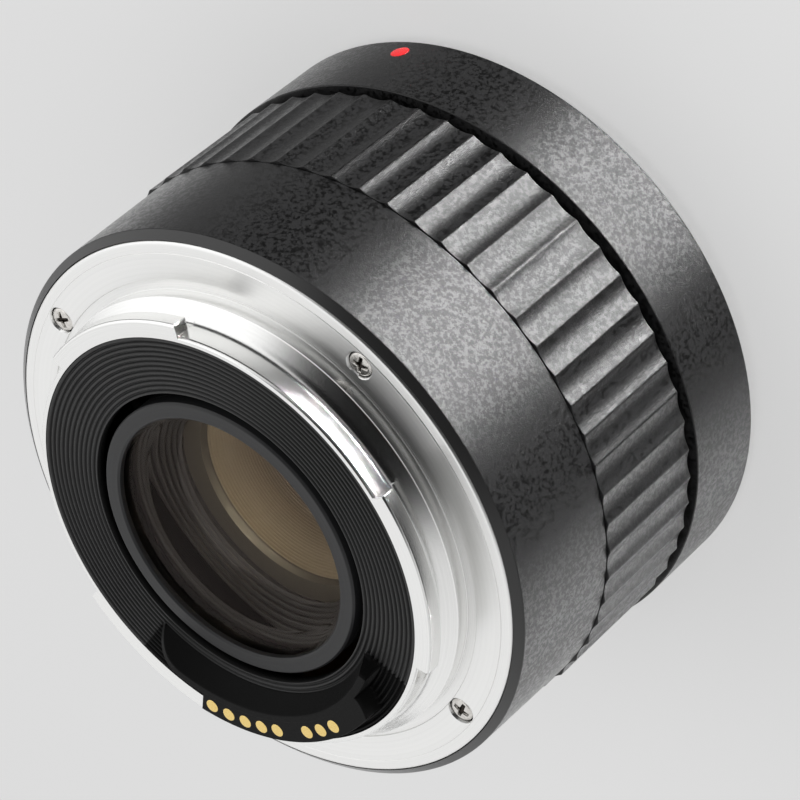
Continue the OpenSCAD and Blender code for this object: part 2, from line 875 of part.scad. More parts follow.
module front_retaining_ring() {
  color(anodised)
    turned([[front_clear_r, crown_foot - glass_gap], [front_sd, crown_foot - glass_gap],
      [front_sd, tube_front_z - glass_gap], [tube_front_r, tube_front_z - glass_gap],
      [tube_front_r, front_ring_z + ring_bevel], [tube_front_r - ring_bevel, front_ring_z],
      [front_clear_r + ring_bevel, front_ring_z], [front_clear_r, front_ring_z + ring_bevel]]);
}

module rear_retaining_ring() {
  color(anodised)
    turned([[rear_step_r + glass_gap, rear_ring_spigot_z], [rear_sd, rear_ring_spigot_z],
      [rear_sd, tube_rear_z + glass_gap], [tube_r, tube_rear_z + glass_gap],
      [tube_r, rear_ring_top - ring_bevel], [tube_r - ring_bevel, rear_ring_top],
      [rear_clear_r + ring_bevel, rear_ring_top], [rear_clear_r, rear_ring_top - ring_bevel],
      [rear_clear_r, rear_lip_z], [rear_step_r + glass_gap, rear_lip_z]]);
}

module lens_bayonet() {
  color(chrome)
    difference() {
      union() {
        turned([[throat_r, 0], [lens_flange_r - lens_flange_bevel, 0], [lens_flange_r, lens_flange_bevel],
          [lens_flange_r, lens_flange_h], [skirt_r, lens_flange_h], [skirt_r, skirt_top],
          [throat_back_r, skirt_top], [throat_back_r, claw_foot], [throat_r, claw_foot]]);
        for (span = lug_angles)
          arc(throat_back_r + claw_root, claw_r, claw_foot, claw_top, span);
      }
      for (a = screw_angles)
        at(screw_orbit, a, 0) {
          translate([0, 0, -over])
            cylinder(r = screw_head_r + counterbore_gap, h = over + head_sink + head_h);
          cylinder(r = thread_r, h = lens_flange_h + over);
        }
      at(lock_orbit, 180, -over)
        cylinder(r = lock_hole_r, h = skirt_top + 2 * over);
    }
}

module lens_bayonet_screws() {
  color(steel)
    for (a = screw_angles)
      at(screw_orbit, a, head_sink)
        flipped(0)
          cross_screw(screw_head_r, head_h, shank_r,
            shank_len + lens_flange_h - head_h - head_sink - thread_free);
}

module mount_springs() {
  color(bronze)
    for (span = lug_angles)
      let (mid = (span[0] + span[1]) / 2)
        arc(leaf_out_r, leaf_in_r, claw_top, claw_top + leaf_h,
          [mid - leaf_half_angle, mid + leaf_half_angle]);
}

module front_light_shield() {
  traps = [for (p = ridge_points(shield_in_r + shield_land, ledge_in_r - shield_land, 0, 0,
    shield_ridges, 1))
    [p[0], shield_z - ridge_depth * p[1]]];
  color(plastic_black)
    difference() {
      turned(concat([[shield_in_r, ledge_z - seat_gap], [shield_in_r, shield_z]], traps,
        [[shield_r, shield_z], [shield_r, ledge_z - seat_gap]]));
      intersection() {
        ring(shield_cut_out_r, shield_cut_in_r, shield_z - over, ledge_z + over);
        pie(shield_cut_angles[0], shield_cut_angles[1], shield_z - 2 * over, ledge_z + 2 * over);
      }
      for (a = shield_screw_angles)
        at(shield_screw_orbit, a, shield_z - over)
          cylinder(r = small_shank_r + press_gap, h = shield_h + 2 * over);
      for (a = ear_screw_angles)
        at(ear_screw_orbit, a, shield_z - over)
          cylinder(r = small_shank_r + press_gap, h = shield_h + 2 * over);
    }
}

module light_shield_screws() {
  color(steel)
    for (a = shield_screw_angles)
      at(shield_screw_orbit, a, shield_z - small_head_h)
        flipped(0)
          cross_screw(small_head_r, small_head_h, small_shank_r, ledge_top - shield_z - thread_free);
}

module front_contact_block() {
  color(plastic_black)
    difference() {
      union() {
        arc(front_block_r, front_block_in_r, front_block_z, front_block_top, front_block_angles);
        arc(front_block_r, ear_in_r, ear_z, ear_top, ear_angles);
      }
      for (k = [0 : len(contact_slots) - 1])
        at(contact_orbit, contact_a(k), 0) {
          translate([0, 0, front_block_z - over])
            cylinder(r = probe_lip_r, h = front_block_top);
          translate([0, 0, probe_lip_top])
            cylinder(r = probe_bore_r, h = front_block_top);
        }
      for (a = ear_screw_angles)
        at(ear_screw_orbit, a, ear_z - eps)
          cylinder(r = small_shank_r + press_gap, h = ear_top);
    }
}

module front_block_screws() {
  color(steel)
    for (a = ear_screw_angles)
      at(ear_screw_orbit, a, shield_z - small_head_h)
        flipped(0)
          cross_screw(small_head_r, small_head_h, small_shank_r, ear_top - shield_z - thread_free);
}

module circuit_board() {
  color(board_green)
    arc(board_r, board_in_r, front_block_top, board_top, board_angles);
}

module control_chips() {
  color(chip_black)
    for (a = chip_angles)
      at(chip_orbit, a, board_top)
        translate([-chip_size[0] / 2, -chip_size[1] / 2, 0])
          cube(chip_size);
}

module flex_circuit() {
  color(flex_amber)
    arc(flex_r, flex_r - flex_t, board_top, block_under, flex_angles);
}

// One sprung pin of the front contact block
module probe(k) {
  color(gold)
    at(contact_orbit, contact_a(k), 0)
      union() {
        translate([0, 0, probe_tip + probe_r])
          sphere(r = probe_r, $fn = ball_fn);
        translate([0, 0, probe_tip + probe_r])
          cylinder(r = probe_r, h = probe_top - probe_tip - probe_r);
        translate([0, 0, probe_collar_z])
          cylinder(r = probe_collar_r, h = probe_collar_h);
      }
}

// Coil behind one sprung pin
module probe_spring(k) {
  color(bronze)
    at(contact_orbit, contact_a(k), 0)
      coil(probe_coil_r, probe_wire_r, probe_collar_z + probe_collar_h + press_gap,
        front_block_top - press_gap, coil_turns);
}

module lock_pin() {
  color(steel)
    at(lock_orbit, 180, 0)
      turned([[0, -lock_out], [lock_r - lock_chamfer, -lock_out], [lock_r, lock_chamfer - lock_out],
        [lock_r, lock_top], [0, lock_top]]);
}

module release_slider() {
  color(plastic_black)
    rotate([0, 0, 180])
      difference() {
        union() {
          translate([arm_in, -arm_half, arm_z])
            cube([thumb_in + thumb_t / 2 - arm_in, 2 * arm_half, arm_h]);
          translate([thumb_in, 0, thumb_foot + thumb_h / 2])
            rotate([0, 90, 0])
              linear_extrude(thumb_t)
                thumb_outline(thumb_h / 2, thumb_half);
          for (i = [0 : thumb_ribs - 1])
            translate([thumb_in + thumb_t - eps, thumb_rib_edge - thumb_half,
              thumb_foot + thumb_rib_foot + thumb_rib_step * i])
              cube([thumb_rib_t + eps, 2 * (thumb_half - thumb_rib_edge), thumb_rib_w]);
        }
        translate([lock_orbit, 0, arm_z - over])
          cylinder(r = lock_r + press_gap, h = arm_h + 2 * over);
      }
}

// Rectangle with round corners, centred
module thumb_outline(half_x, half_y) {
  square([2 * half_x - 2 * thumb_corner, 2 * half_y], center = true);
  square([2 * half_x, 2 * half_y - 2 * thumb_corner], center = true);
  for (x = [-1, 1], y = [-1, 1])
    translate([x * (half_x - thumb_corner), y * (half_y - thumb_corner)])
      circle(r = thumb_corner);
}

module lock_spring() {
  color(steel)
    at(lock_orbit, 180, 0)
      coil(lock_coil_r, lock_wire_r, arm_top + press_gap, ledge_z - press_gap, coil_turns);
}

front_collar();
grip_sleeve();
rear_barrel();
main_chassis();
lens_index_dot();
camera_index_dot();
camera_bayonet();
camera_bayonet_screws();
rear_baffle();
rear_baffle_screws();
contact_block();
contact_block_screws();
rear_contacts();
optics_tube();
optics_tube_screws();
front_crown();
front_flint();
middle_element();
rear_meniscus();
rear_element();
front_spacer();
rear_spacer();
front_retaining_ring();
rear_retaining_ring();
lens_bayonet();
lens_bayonet_screws();
mount_springs();
front_light_shield();
light_shield_screws();
front_contact_block();
front_block_screws();
circuit_board();
control_chips();
flex_circuit();
probe(0);  // contact_pin_1
probe(1);  // contact_pin_2
probe(2);  // contact_pin_3
probe(3);  // contact_pin_4
probe(4);  // contact_pin_5
probe(5);  // contact_pin_6
probe(6);  // contact_pin_7
probe(7);  // contact_pin_8
probe_spring(0);  // contact_spring_1
probe_spring(1);  // contact_spring_2
probe_spring(2);  // contact_spring_3
probe_spring(3);  // contact_spring_4
probe_spring(4);  // contact_spring_5
probe_spring(5);  // contact_spring_6
probe_spring(6);  // contact_spring_7
probe_spring(7);  // contact_spring_8
lock_pin();
release_slider();
lock_spring();
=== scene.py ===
import bmesh
import bpy
import numpy as np
from mathutils import Matrix


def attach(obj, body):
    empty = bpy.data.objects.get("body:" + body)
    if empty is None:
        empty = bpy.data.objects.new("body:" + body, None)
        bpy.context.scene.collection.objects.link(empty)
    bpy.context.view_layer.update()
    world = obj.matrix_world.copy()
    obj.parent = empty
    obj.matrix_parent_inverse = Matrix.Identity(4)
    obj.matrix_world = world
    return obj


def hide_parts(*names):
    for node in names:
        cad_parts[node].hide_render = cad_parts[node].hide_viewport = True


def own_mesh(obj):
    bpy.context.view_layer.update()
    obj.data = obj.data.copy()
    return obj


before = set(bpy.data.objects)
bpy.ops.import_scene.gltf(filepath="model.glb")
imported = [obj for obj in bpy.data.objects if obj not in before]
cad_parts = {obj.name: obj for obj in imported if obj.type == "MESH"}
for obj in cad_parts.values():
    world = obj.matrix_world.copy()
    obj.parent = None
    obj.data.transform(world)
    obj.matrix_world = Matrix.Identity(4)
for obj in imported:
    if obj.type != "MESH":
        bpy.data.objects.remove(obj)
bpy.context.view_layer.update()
mm = 0.001
turn = 2 * np.pi


# Camera and studio

shot = {
    "place": (262.73, 188.12, 273.70),  # mm from the middle of the lens mount face
    "right": (0.761656, -0.247576, -0.598821),  # the picture's right, in the part's frame
    "up": (-0.120052, 0.854218, -0.505865),
    "lens": 170.34,
    "sensor": 36.0,
    "clip": (0.01, 20.0),  # m
}


def aimed(place, xAxis, yAxis):
    # columns: right, up, backwards, place
    axes = np.stack([xAxis, yAxis, np.cross(xAxis, yAxis)], 1)
    grid = np.eye(4)
    grid[:3, :3] = axes
    grid[:3, 3] = np.array(place) * mm
    return Matrix(grid.tolist())


def placeCamera():
    lens = bpy.data.cameras.new("photoCamera")
    lens.lens = shot["lens"]
    lens.sensor_width = shot["sensor"]
    lens.clip_start, lens.clip_end = shot["clip"]
    camera = bpy.data.objects.new("photoCamera", lens)
    camera.matrix_world = aimed(shot["place"], np.array(shot["right"]), np.array(shot["up"]))
    bpy.context.scene.collection.objects.link(camera)
    bpy.context.scene.camera = camera


studio = {
    "pale": 0.72,  # background as the camera sees it
    "paper": 0.84,  # floor
    "seenPaper": 0.69,  # floor as the camera sees it
    "glow": 0.55,  # share of that pale which stays in the shadow
    "floorZ": -1.35,  # just under the tip of the lock pin
    "floorSize": 1600.0,
    "cards": (  # dark cards on the floor beside the part
        {"to": (0.74, 0.67, 0.0), "edge": (0.008, 0.036), "depth": 1.0},
        {"to": (0.09, 1.0, 0.0), "edge": (0.028, 0.040), "depth": 0.72},
    ),
    "cardShare": 0.04,  # how much of the floor's light a card gives back to the part
    "aimZ": 25.0,  # height that the lamps aim at
    "tent": 0.85,  # light of the white tent above
    "tentFoot": (-0.02, 0.02),  # nothing shines from under the floor
}
tentParts = (
    {"to": (-0.62, -0.48, 0.62), "level": 1.14, "edge": (0.20, 0.75)},  # bright side across from the camera
    {"to": (-0.50, 0.62, 0.60), "level": 1.55, "edge": (0.50, 0.92)},  # bright side on the left
    {"to": (0.575, 0.403, 0.712), "level": 0.008, "edge": (0.62, 0.88)},  # dark side by the camera
)
lamps = {
    "stripBox": {"to": (0.60, 0.51, -0.62), "far": 420, "size": (345, 300), "power": 4.5, "under": True},
    "sideBox": {"to": (0.32, -0.73, -0.60), "far": 420, "size": (240, 300), "power": 0.22, "under": True},
    "topFill": {"to": (0.10, 0.08, 0.99), "far": 900, "size": (900, 900), "power": 2.6, "under": False},
    "doorFill": {"to": (0.70, 0.35, 0.62), "far": 800, "size": (700, 500), "power": 2.6, "under": False},
}


def placeLamps():
    aim = np.array((0, 0, studio["aimZ"]))
    for name, spec in lamps.items():
        light = bpy.data.lights.new(name, "AREA")
        light.shape = "RECTANGLE"
        light.size, light.size_y = (side * mm for side in spec["size"])
        light.energy = spec["power"]
        lamp = bpy.data.objects.new(name, light)
        back = np.array(spec["to"]) / np.linalg.norm(spec["to"])
        side = np.cross((0, 0, 1), back)
        side = side / np.linalg.norm(side)
        lamp.matrix_world = aimed(back * spec["far"] + aim, side, np.cross(back, side))
        lamp.visible_camera = False
        lamp.visible_glossy = spec["under"]
        # rays that leave the part meet the floor before a lamp under it, so only the lamp's own samples count
        light.cycles.use_multiple_importance_sampling = not spec["under"]
        bpy.context.scene.collection.objects.link(lamp)


def node(tree, kind, **settings):
    made = tree.nodes.new(kind)
    for key, value in settings.items():
        setattr(made, key, value)
    return made


def feed(tree, socket, value):
    # an output is linked to the socket and a plain value is set on it
    if isinstance(value, bpy.types.NodeSocket):
        tree.links.new(value, socket)
    else:
        socket.default_value = value


def calc(tree, operation, first, second=0.0):
    made = node(tree, "ShaderNodeMath", operation=operation)
    feed(tree, made.inputs[0], first)
    feed(tree, made.inputs[1], second)
    return made.outputs[0]


def summed(tree, first, firstShare, second, secondShare):
    # first * firstShare + second * secondShare
    one = calc(tree, "MULTIPLY", first, firstShare)
    return calc(tree, "ADD", one, calc(tree, "MULTIPLY", second, secondShare))


def spread(tree, value, low, high, to0=0.0, to1=1.0):
    # smooth step from to0 at low to to1 at high
    made = node(tree, "ShaderNodeMapRange", interpolation_type="SMOOTHSTEP")
    names = ("Value", "From Min", "From Max", "To Min", "To Max")
    for name, given in zip(names, (value, low, high, to0, to1)):
        feed(tree, made.inputs[name], given)
    return made.outputs["Result"]


def between(tree, value, rise, fall):
    # 1 in the middle, through a smooth step over rise and one over fall
    return calc(tree, "MULTIPLY", spread(tree, value, *rise), spread(tree, value, *fall))


def blended(tree, factor, first, second):
    made = node(tree, "ShaderNodeMix", data_type="RGBA")
    feed(tree, made.inputs["Factor"], factor)
    for socket, value in zip((made.inputs[6], made.inputs[7]), (first, second)):
        feed(tree, socket, (*value, 1) if isinstance(value, tuple) else value)
    return made.outputs[2]


def objectPlace(tree):
    # x, y and z on the surface in the part's frame, in metres
    cut = node(tree, "ShaderNodeSeparateXYZ")
    tree.links.new(node(tree, "ShaderNodeTexCoord").outputs["Object"], cut.inputs[0])
    return cut.outputs


def makeWorld():
    world = bpy.data.worlds.new("whiteTent")
    bpy.context.scene.world = world
    world.use_nodes = True
    tree = world.node_tree
    tree.nodes.clear()
    ray = node(tree, "ShaderNodeTexCoord").outputs["Generated"]
    cut = node(tree, "ShaderNodeSeparateXYZ")
    tree.links.new(ray, cut.inputs[0])
    level = studio["tent"]
    for part in tentParts:
        aim = node(tree, "ShaderNodeVectorMath", operation="DOT_PRODUCT")
        tree.links.new(ray, aim.inputs[0])
        aim.inputs[1].default_value = part["to"]
        near = spread(tree, aim.outputs["Value"], *part["edge"])
        gain = calc(tree, "SUBTRACT", part["level"], level)
        level = calc(tree, "ADD", level, calc(tree, "MULTIPLY", near, gain))
    level = calc(tree, "MULTIPLY", level, spread(tree, cut.outputs["Z"], *studio["tentFoot"]))
    seen = node(tree, "ShaderNodeLightPath").outputs["Is Camera Ray"]
    paleStep = calc(tree, "MULTIPLY", seen, calc(tree, "SUBTRACT", studio["pale"], level))
    level = calc(tree, "ADD", level, paleStep)
    sky = node(tree, "ShaderNodeBackground")
    tree.links.new(level, sky.inputs["Strength"])
    out = node(tree, "ShaderNodeOutputWorld")
    tree.links.new(sky.outputs[0], out.inputs[0])


def makeFloor():
    half = studio["floorSize"] / 2
    level = studio["floorZ"]
    across, along = half * np.array(((-1, 1, 1, -1), (-1, -1, 1, 1)))
    corners = np.stack([across, along, np.full(4, level)], -1)
    mesh = bpy.data.meshes.new("paleFloor")
    mesh.from_pydata((corners * mm).tolist(), [], [(0, 1, 2, 3)])
    floor = bpy.data.objects.new("paleFloor", mesh)
    bpy.context.scene.collection.objects.link(floor)
    material = bpy.data.materials.new("palePaper")
    material.use_nodes = True
    tree = material.node_tree
    tree.nodes.clear()
    paper = node(tree, "ShaderNodeBsdfDiffuse")
    dark = 0.0
    for card in studio["cards"]:
        place = node(tree, "ShaderNodeVectorMath", operation="DOT_PRODUCT")
        tree.links.new(node(tree, "ShaderNodeTexCoord").outputs["Object"], place.inputs[0])
        place.inputs[1].default_value = card["to"]
        shadow = spread(tree, place.outputs["Value"], *card["edge"], 0.0, card["depth"])
        dark = calc(tree, "MAXIMUM", dark, shadow)
    path = node(tree, "ShaderNodeLightPath")
    dark = calc(tree, "MULTIPLY", dark, path.outputs["Is Glossy Ray"])
    white, grey = (studio["paper"],) * 3, (studio["paper"] * studio["cardShare"],) * 3
    shade = blended(tree, dark, white, grey)
    shade = blended(tree, path.outputs["Is Camera Ray"], shade, (studio["seenPaper"],) * 3)
    tree.links.new(shade, paper.inputs["Color"])
    glow = node(tree, "ShaderNodeEmission")
    glow.inputs["Color"].default_value = (studio["pale"],) * 3 + (1,)
    lit = node(tree, "ShaderNodeMixShader")
    tree.links.new(calc(tree, "MULTIPLY", path.outputs["Is Camera Ray"], studio["glow"]), lit.inputs[0])
    tree.links.new(paper.outputs[0], lit.inputs[1])
    tree.links.new(glow.outputs[0], lit.inputs[2])
    clear = node(tree, "ShaderNodeBsdfTransparent")
    under = node(tree, "ShaderNodeNewGeometry").outputs["Backfacing"]
    mix = node(tree, "ShaderNodeMixShader")
    out = node(tree, "ShaderNodeOutputMaterial")
    tree.links.new(under, mix.inputs[0])
    tree.links.new(lit.outputs[0], mix.inputs[1])
    tree.links.new(clear.outputs[0], mix.inputs[2])
    tree.links.new(mix.outputs[0], out.inputs[0])
    mesh.materials.append(material)
    floor.visible_shadow = False  # lets the strip box light the barrel from below, as a glass table does


bpy.context.scene.view_settings.view_transform = "Standard"
placeCamera()
placeLamps()
makeWorld()
makeFloor()
print("camera, lamps, tent and floor placed")


# Shared surface effects

def effect(name, inputs, outputs):
    tree = bpy.data.node_groups.new(name, "ShaderNodeTree")
    for label, value in inputs.items():
        socket = tree.interface.new_socket(name=label, in_out="INPUT", socket_type="NodeSocketFloat")
        socket.default_value = value
    for label in outputs:
        tree.interface.new_socket(name=label, in_out="OUTPUT", socket_type="NodeSocketFloat")
    return tree, tree.nodes.new("NodeGroupInput"), tree.nodes.new("NodeGroupOutput")


def noise(tree, scale, detail=2.0, roughness=0.5, flat=None):
    made = node(tree, "ShaderNodeTexNoise")
    place = flat if flat is not None else node(tree, "ShaderNodeTexCoord").outputs["Object"]
    for name, given in zip(("Vector", "Scale", "Detail", "Roughness"), (place, scale, detail, roughness)):
        feed(tree, made.inputs[name], given)
    return made.outputs[0]


def makeFleckEffect():
    # smooth flecks in a rough ground, as crystal paint dries: mask and height
    tree, source, result = effect("crystalFlecks", {"Size": 0.0009}, ("Fleck", "Height"))
    fine = calc(tree, "DIVIDE", 1.0, source.outputs["Size"])
    ground = noise(tree, calc(tree, "MULTIPLY", fine, 4.0), detail=2.0, roughness=0.6)
    fleck = spread(tree, noise(tree, fine, detail=6.0, roughness=0.70), 0.455, 0.585)
    tree.links.new(fleck, result.inputs["Fleck"])
    tree.links.new(summed(tree, ground, 0.8, fleck, 0.15), result.inputs["Height"])
    return tree


def makeGrainEffect():
    # fine even grain of a blasted or moulded skin
    tree, source, result = effect("fineGrain", {"Size": 0.0001}, ("Grain",))
    fine = calc(tree, "DIVIDE", 1.0, source.outputs["Size"])
    tree.links.new(noise(tree, fine, detail=3.0, roughness=0.6), result.inputs["Grain"])
    return tree


def makeTurnedEffect():
    # tool lines of a lathe: noise that changes with the distance from the axis and the height alone
    tree, source, result = effect("turnedLines", {"Pitch": 0.0002}, ("Line",))
    place = objectPlace(tree)
    across = calc(tree, "MULTIPLY", place["X"], place["X"])
    along = calc(tree, "MULTIPLY", place["Y"], place["Y"])
    radius = calc(tree, "SQRT", calc(tree, "ADD", across, along))
    flat = node(tree, "ShaderNodeCombineXYZ")
    tree.links.new(radius, flat.inputs[0])
    tree.links.new(place["Z"], flat.inputs[1])
    fine = calc(tree, "DIVIDE", 1.0, source.outputs["Pitch"])
    line = noise(tree, fine, detail=2.0, roughness=0.7, flat=flat.outputs[0])
    tree.links.new(line, result.inputs["Line"])
    return tree


def makeDustEffect():
    # a few pale specks, thicker in patches
    tree, source, result = effect("dustSpecks", {"Size": 0.0004, "Amount": 0.5}, ("Speck",))
    fine = calc(tree, "DIVIDE", 1.0, source.outputs["Size"])
    cell = node(tree, "ShaderNodeTexVoronoi")
    tree.links.new(node(tree, "ShaderNodeTexCoord").outputs["Object"], cell.inputs["Vector"])
    tree.links.new(fine, cell.inputs["Scale"])
    dot = spread(tree, cell.outputs["Distance"], 0.16, 0.05)
    patch = spread(tree, noise(tree, calc(tree, "DIVIDE", fine, 9.0)), 0.55, 0.72)
    speck = calc(tree, "MULTIPLY", calc(tree, "MULTIPLY", dot, patch), source.outputs["Amount"])
    tree.links.new(speck, result.inputs["Speck"])
    return tree


effects = {
    "flecks": makeFleckEffect(),
    "grain": makeGrainEffect(),
    "turned": makeTurnedEffect(),
    "dust": makeDustEffect(),
}


def use(tree, name, **values):
    made = tree.nodes.new("ShaderNodeGroup")
    made.node_tree = effects[name]
    for key, value in values.items():
        made.inputs[key].default_value = value
    return made


def finish(name, color, roughness, **constants):
    # a Principled material with its plain values set on the shader's own sockets
    material = bpy.data.materials.new(name)
    material.use_nodes = True
    tree = material.node_tree
    shader = tree.nodes["Principled BSDF"]
    shader.inputs["Base Color"].default_value = (*color, 1)
    shader.inputs["Roughness"].default_value = roughness
    for key, value in constants.items():
        shader.inputs[key.replace("_", " ")].default_value = value
    material.diffuse_color = (*color, 1)
    return material, tree, shader


def bump(tree, shader, height, depth):
    made = node(tree, "ShaderNodeBump")
    made.inputs["Strength"].default_value = 1.0
    made.inputs["Distance"].default_value = depth
    tree.links.new(height, made.inputs["Height"])
    tree.links.new(made.outputs["Normal"], shader.inputs["Normal"])


noiseMiddle = (0.3, 0.7)  # most values of a noise lie between these


def roughen(tree, shader, value, low, high):
    # roughness that goes from low to high with a noise
    tree.links.new(spread(tree, value, *noiseMiddle, low, high), shader.inputs["Roughness"])


paint = {
    "color": (0.0145, 0.0145, 0.0148), "fleckColor": (0.001, 0.001, 0.001), "dustColor": (0.16, 0.155, 0.15),
    "fleckSize": 0.00052, "groundRough": 0.30, "fleckRough": 0.28, "relief": 0.000026,
    "rimFrom": 0.04105,  # above this height the barrel's rim is smooth
    "rimSoft": 0.00004, "rimColor": (0.008, 0.008, 0.008), "rimRough": 0.34, "rimGloss": 0.7,
}


def crystalPaint(name, smoothRim, gloss, fleckGloss):
    p = paint
    material, tree, shader = finish(name, p["color"], p["groundRough"], Specular_IOR_Level=gloss,
                                    Coat_Roughness=p["fleckRough"])
    flecks = use(tree, "flecks", Size=p["fleckSize"])
    fleck, height = flecks.outputs["Fleck"], flecks.outputs["Height"]
    rough = spread(tree, fleck, 0.0, 1.0, p["groundRough"], p["fleckRough"])
    shine = calc(tree, "MULTIPLY", fleck, fleckGloss)
    dust = use(tree, "dust", Size=0.0005, Amount=0.12).outputs["Speck"]
    color = blended(tree, fleck, p["color"], p["fleckColor"])
    color = blended(tree, dust, color, p["dustColor"])
    if smoothRim:
        rim = spread(tree, objectPlace(tree)["Z"], p["rimFrom"] - p["rimSoft"], p["rimFrom"] + p["rimSoft"])
        keep = calc(tree, "SUBTRACT", 1.0, rim)
        height = calc(tree, "MULTIPLY", height, keep)
        color = blended(tree, rim, color, p["rimColor"])
        rough = summed(tree, rough, keep, rim, p["rimRough"])
        shine = summed(tree, shine, keep, rim, p["rimGloss"])
    tree.links.new(shine, shader.inputs["Coat Weight"])
    tree.links.new(color, shader.inputs["Base Color"])
    tree.links.new(rough, shader.inputs["Roughness"])
    bump(tree, shader, height, p["relief"])
    return material


# heights, in metres, where the chrome's turned faces begin and end
chromeFaces = {"rearRise": (0.0416, 0.0417), "rearFall": (0.04212, 0.04204), "frontFall": (0.0005, 0.0004)}


def satinChrome():
    material, tree, shader = finish("satinChrome", (0.86, 0.86, 0.85), 0.24, Metallic=1.0)
    grain = use(tree, "grain", Size=0.0001).outputs["Grain"]
    line = use(tree, "turned", Pitch=0.00016).outputs["Line"]
    dust = use(tree, "dust", Size=0.0004, Amount=0.3).outputs["Speck"]
    height = objectPlace(tree)["Z"]
    rearFace = between(tree, height, chromeFaces["rearRise"], chromeFaces["rearFall"])
    face = calc(tree, "ADD", rearFace, spread(tree, height, *chromeFaces["frontFall"]))
    rough = calc(tree, "ADD", 0.15, summed(tree, face, 0.14, line, 0.05))
    color = blended(tree, spread(tree, line, *noiseMiddle), (0.84, 0.84, 0.83), (0.88, 0.88, 0.87))
    color = blended(tree, dust, color, (0.45, 0.44, 0.42))
    tree.links.new(color, shader.inputs["Base Color"])
    tree.links.new(rough, shader.inputs["Roughness"])
    bump(tree, shader, summed(tree, grain, 0.9, line, 0.06), depth=0.000009)
    return material


# heights, in metres, where the painted shade of each set of screws begins and is full, and its reach from
# there
screwShade = {"levels": ((0.04174, 0.0416), (0.00026, 0.0004), (0.00836, 0.0085)), "reach": (0.0016, 0.0015)}


def brightSteel():
    material, tree, shader = finish("screwSteel", (0.70, 0.68, 0.65), 0.22, Metallic=1.0)
    grain = use(tree, "grain", Size=0.0003).outputs["Grain"]
    roughen(tree, shader, grain, 0.16, 0.34)
    color = blended(tree, spread(tree, grain, 0.4, 0.7), (0.72, 0.70, 0.67), (0.58, 0.56, 0.53))
    height = objectPlace(tree)["Z"]
    # mask of the painted shade in the cross recess and round each head
    deep = 0.0
    for begin, full in screwShade["levels"]:
        away = calc(tree, "ABSOLUTE", calc(tree, "SUBTRACT", height, full))
        near = spread(tree, away, *screwShade["reach"])
        under = calc(tree, "MULTIPLY", spread(tree, height, begin, full), near)
        deep = calc(tree, "MAXIMUM", deep, under)
    color = blended(tree, deep, color, (0.035, 0.030, 0.026))  # painted shade in the cross and round the head
    tree.links.new(color, shader.inputs["Base Color"])
    bump(tree, shader, grain, depth=0.000004)
    return material


def mouldedPlastic(name, gloss, low, high):
    material, tree, shader = finish(name, (low,) * 3, 0.5, Specular_IOR_Level=gloss)
    grain = use(tree, "grain", Size=0.00016).outputs["Grain"]
    dust = use(tree, "dust", Size=0.00045, Amount=0.2).outputs["Speck"]
    roughen(tree, shader, grain, 0.42, 0.6)
    color = blended(tree, grain, (low,) * 3, (high,) * 3)
    tree.links.new(blended(tree, dust, color, (0.12, 0.12, 0.12)), shader.inputs["Base Color"])
    bump(tree, shader, grain, depth=0.00001)
    return material


def darkAnodised(name, low, high, rough, gloss):
    material, tree, shader = finish(name, low, rough, Specular_IOR_Level=gloss)
    line = use(tree, "turned", Pitch=0.00025).outputs["Line"]
    grain = use(tree, "grain", Size=0.0001).outputs["Grain"]
    tree.links.new(blended(tree, line, low, high), shader.inputs["Base Color"])
    roughen(tree, shader, grain, rough - 0.06, rough + 0.08)
    bump(tree, shader, line, depth=0.00001)
    return material


tubeLip = {"rise": (0.02793, 0.02797), "fall": (0.02907, 0.02903)}  # heights in metres


def lensTube():
    # black, with grey on the lip under the rear meniscus
    material, tree, shader = finish("tubeAnodised", (0.012, 0.012, 0.012), 0.5)
    line = use(tree, "turned", Pitch=0.0003).outputs["Line"]
    lip = between(tree, objectPlace(tree)["Z"], tubeLip["rise"], tubeLip["fall"])
    black = blended(tree, line, (0.010, 0.010, 0.010), (0.018, 0.018, 0.018))
    grey = blended(tree, line, (0.085, 0.082, 0.074), (0.125, 0.120, 0.108))
    tree.links.new(blended(tree, lip, black, grey), shader.inputs["Base Color"])
    roughen(tree, shader, line, 0.45, 0.58)
    bump(tree, shader, line, depth=0.00001)
    return material


def spacerWithPaintedShade():
    # beige by the rear glass, falling to dark brown towards the lens mount: the dark brown is a painted shade
    # deeper in the bore
    material, tree, shader = finish("spacerBeige", (0.40, 0.35, 0.28), 0.55)
    line = use(tree, "turned", Pitch=0.00025).outputs["Line"]
    # painted shade: the colour falls from beige to dark brown below these heights
    up = spread(tree, objectPlace(tree)["Z"], 0.0195, 0.0285)
    pale = blended(tree, line, (0.46, 0.395, 0.315), (0.52, 0.45, 0.36))
    tree.links.new(blended(tree, up, (0.055, 0.034, 0.018), pale), shader.inputs["Base Color"])
    roughen(tree, shader, line, 0.50, 0.62)
    return material


def goldPlate():
    material, tree, shader = finish("goldPlate", (0.86, 0.63, 0.23), 0.3, Metallic=1.0)
    grain = use(tree, "grain", Size=0.0002).outputs["Grain"]
    color = blended(tree, spread(tree, grain, 0.35, 0.7), (0.88, 0.67, 0.26), (0.80, 0.57, 0.19))
    tree.links.new(color, shader.inputs["Base Color"])
    roughen(tree, shader, grain, 0.24, 0.38)
    bump(tree, shader, grain, depth=0.000005)
    return material


def redEnamel():
    material, tree, shader = finish("redEnamel", (0.56, 0.008, 0.011), 0.25, Coat_Weight=0.3)
    grain = use(tree, "grain", Size=0.0004).outputs["Grain"]
    color = blended(tree, grain, (0.50, 0.006, 0.009), (0.62, 0.010, 0.013))
    tree.links.new(color, shader.inputs["Base Color"])
    roughen(tree, shader, grain, 0.2, 0.3)
    return material


glassBody = {"color": (0.985, 0.975, 0.955), "ior": 1.6, "bareShare": 0.86}


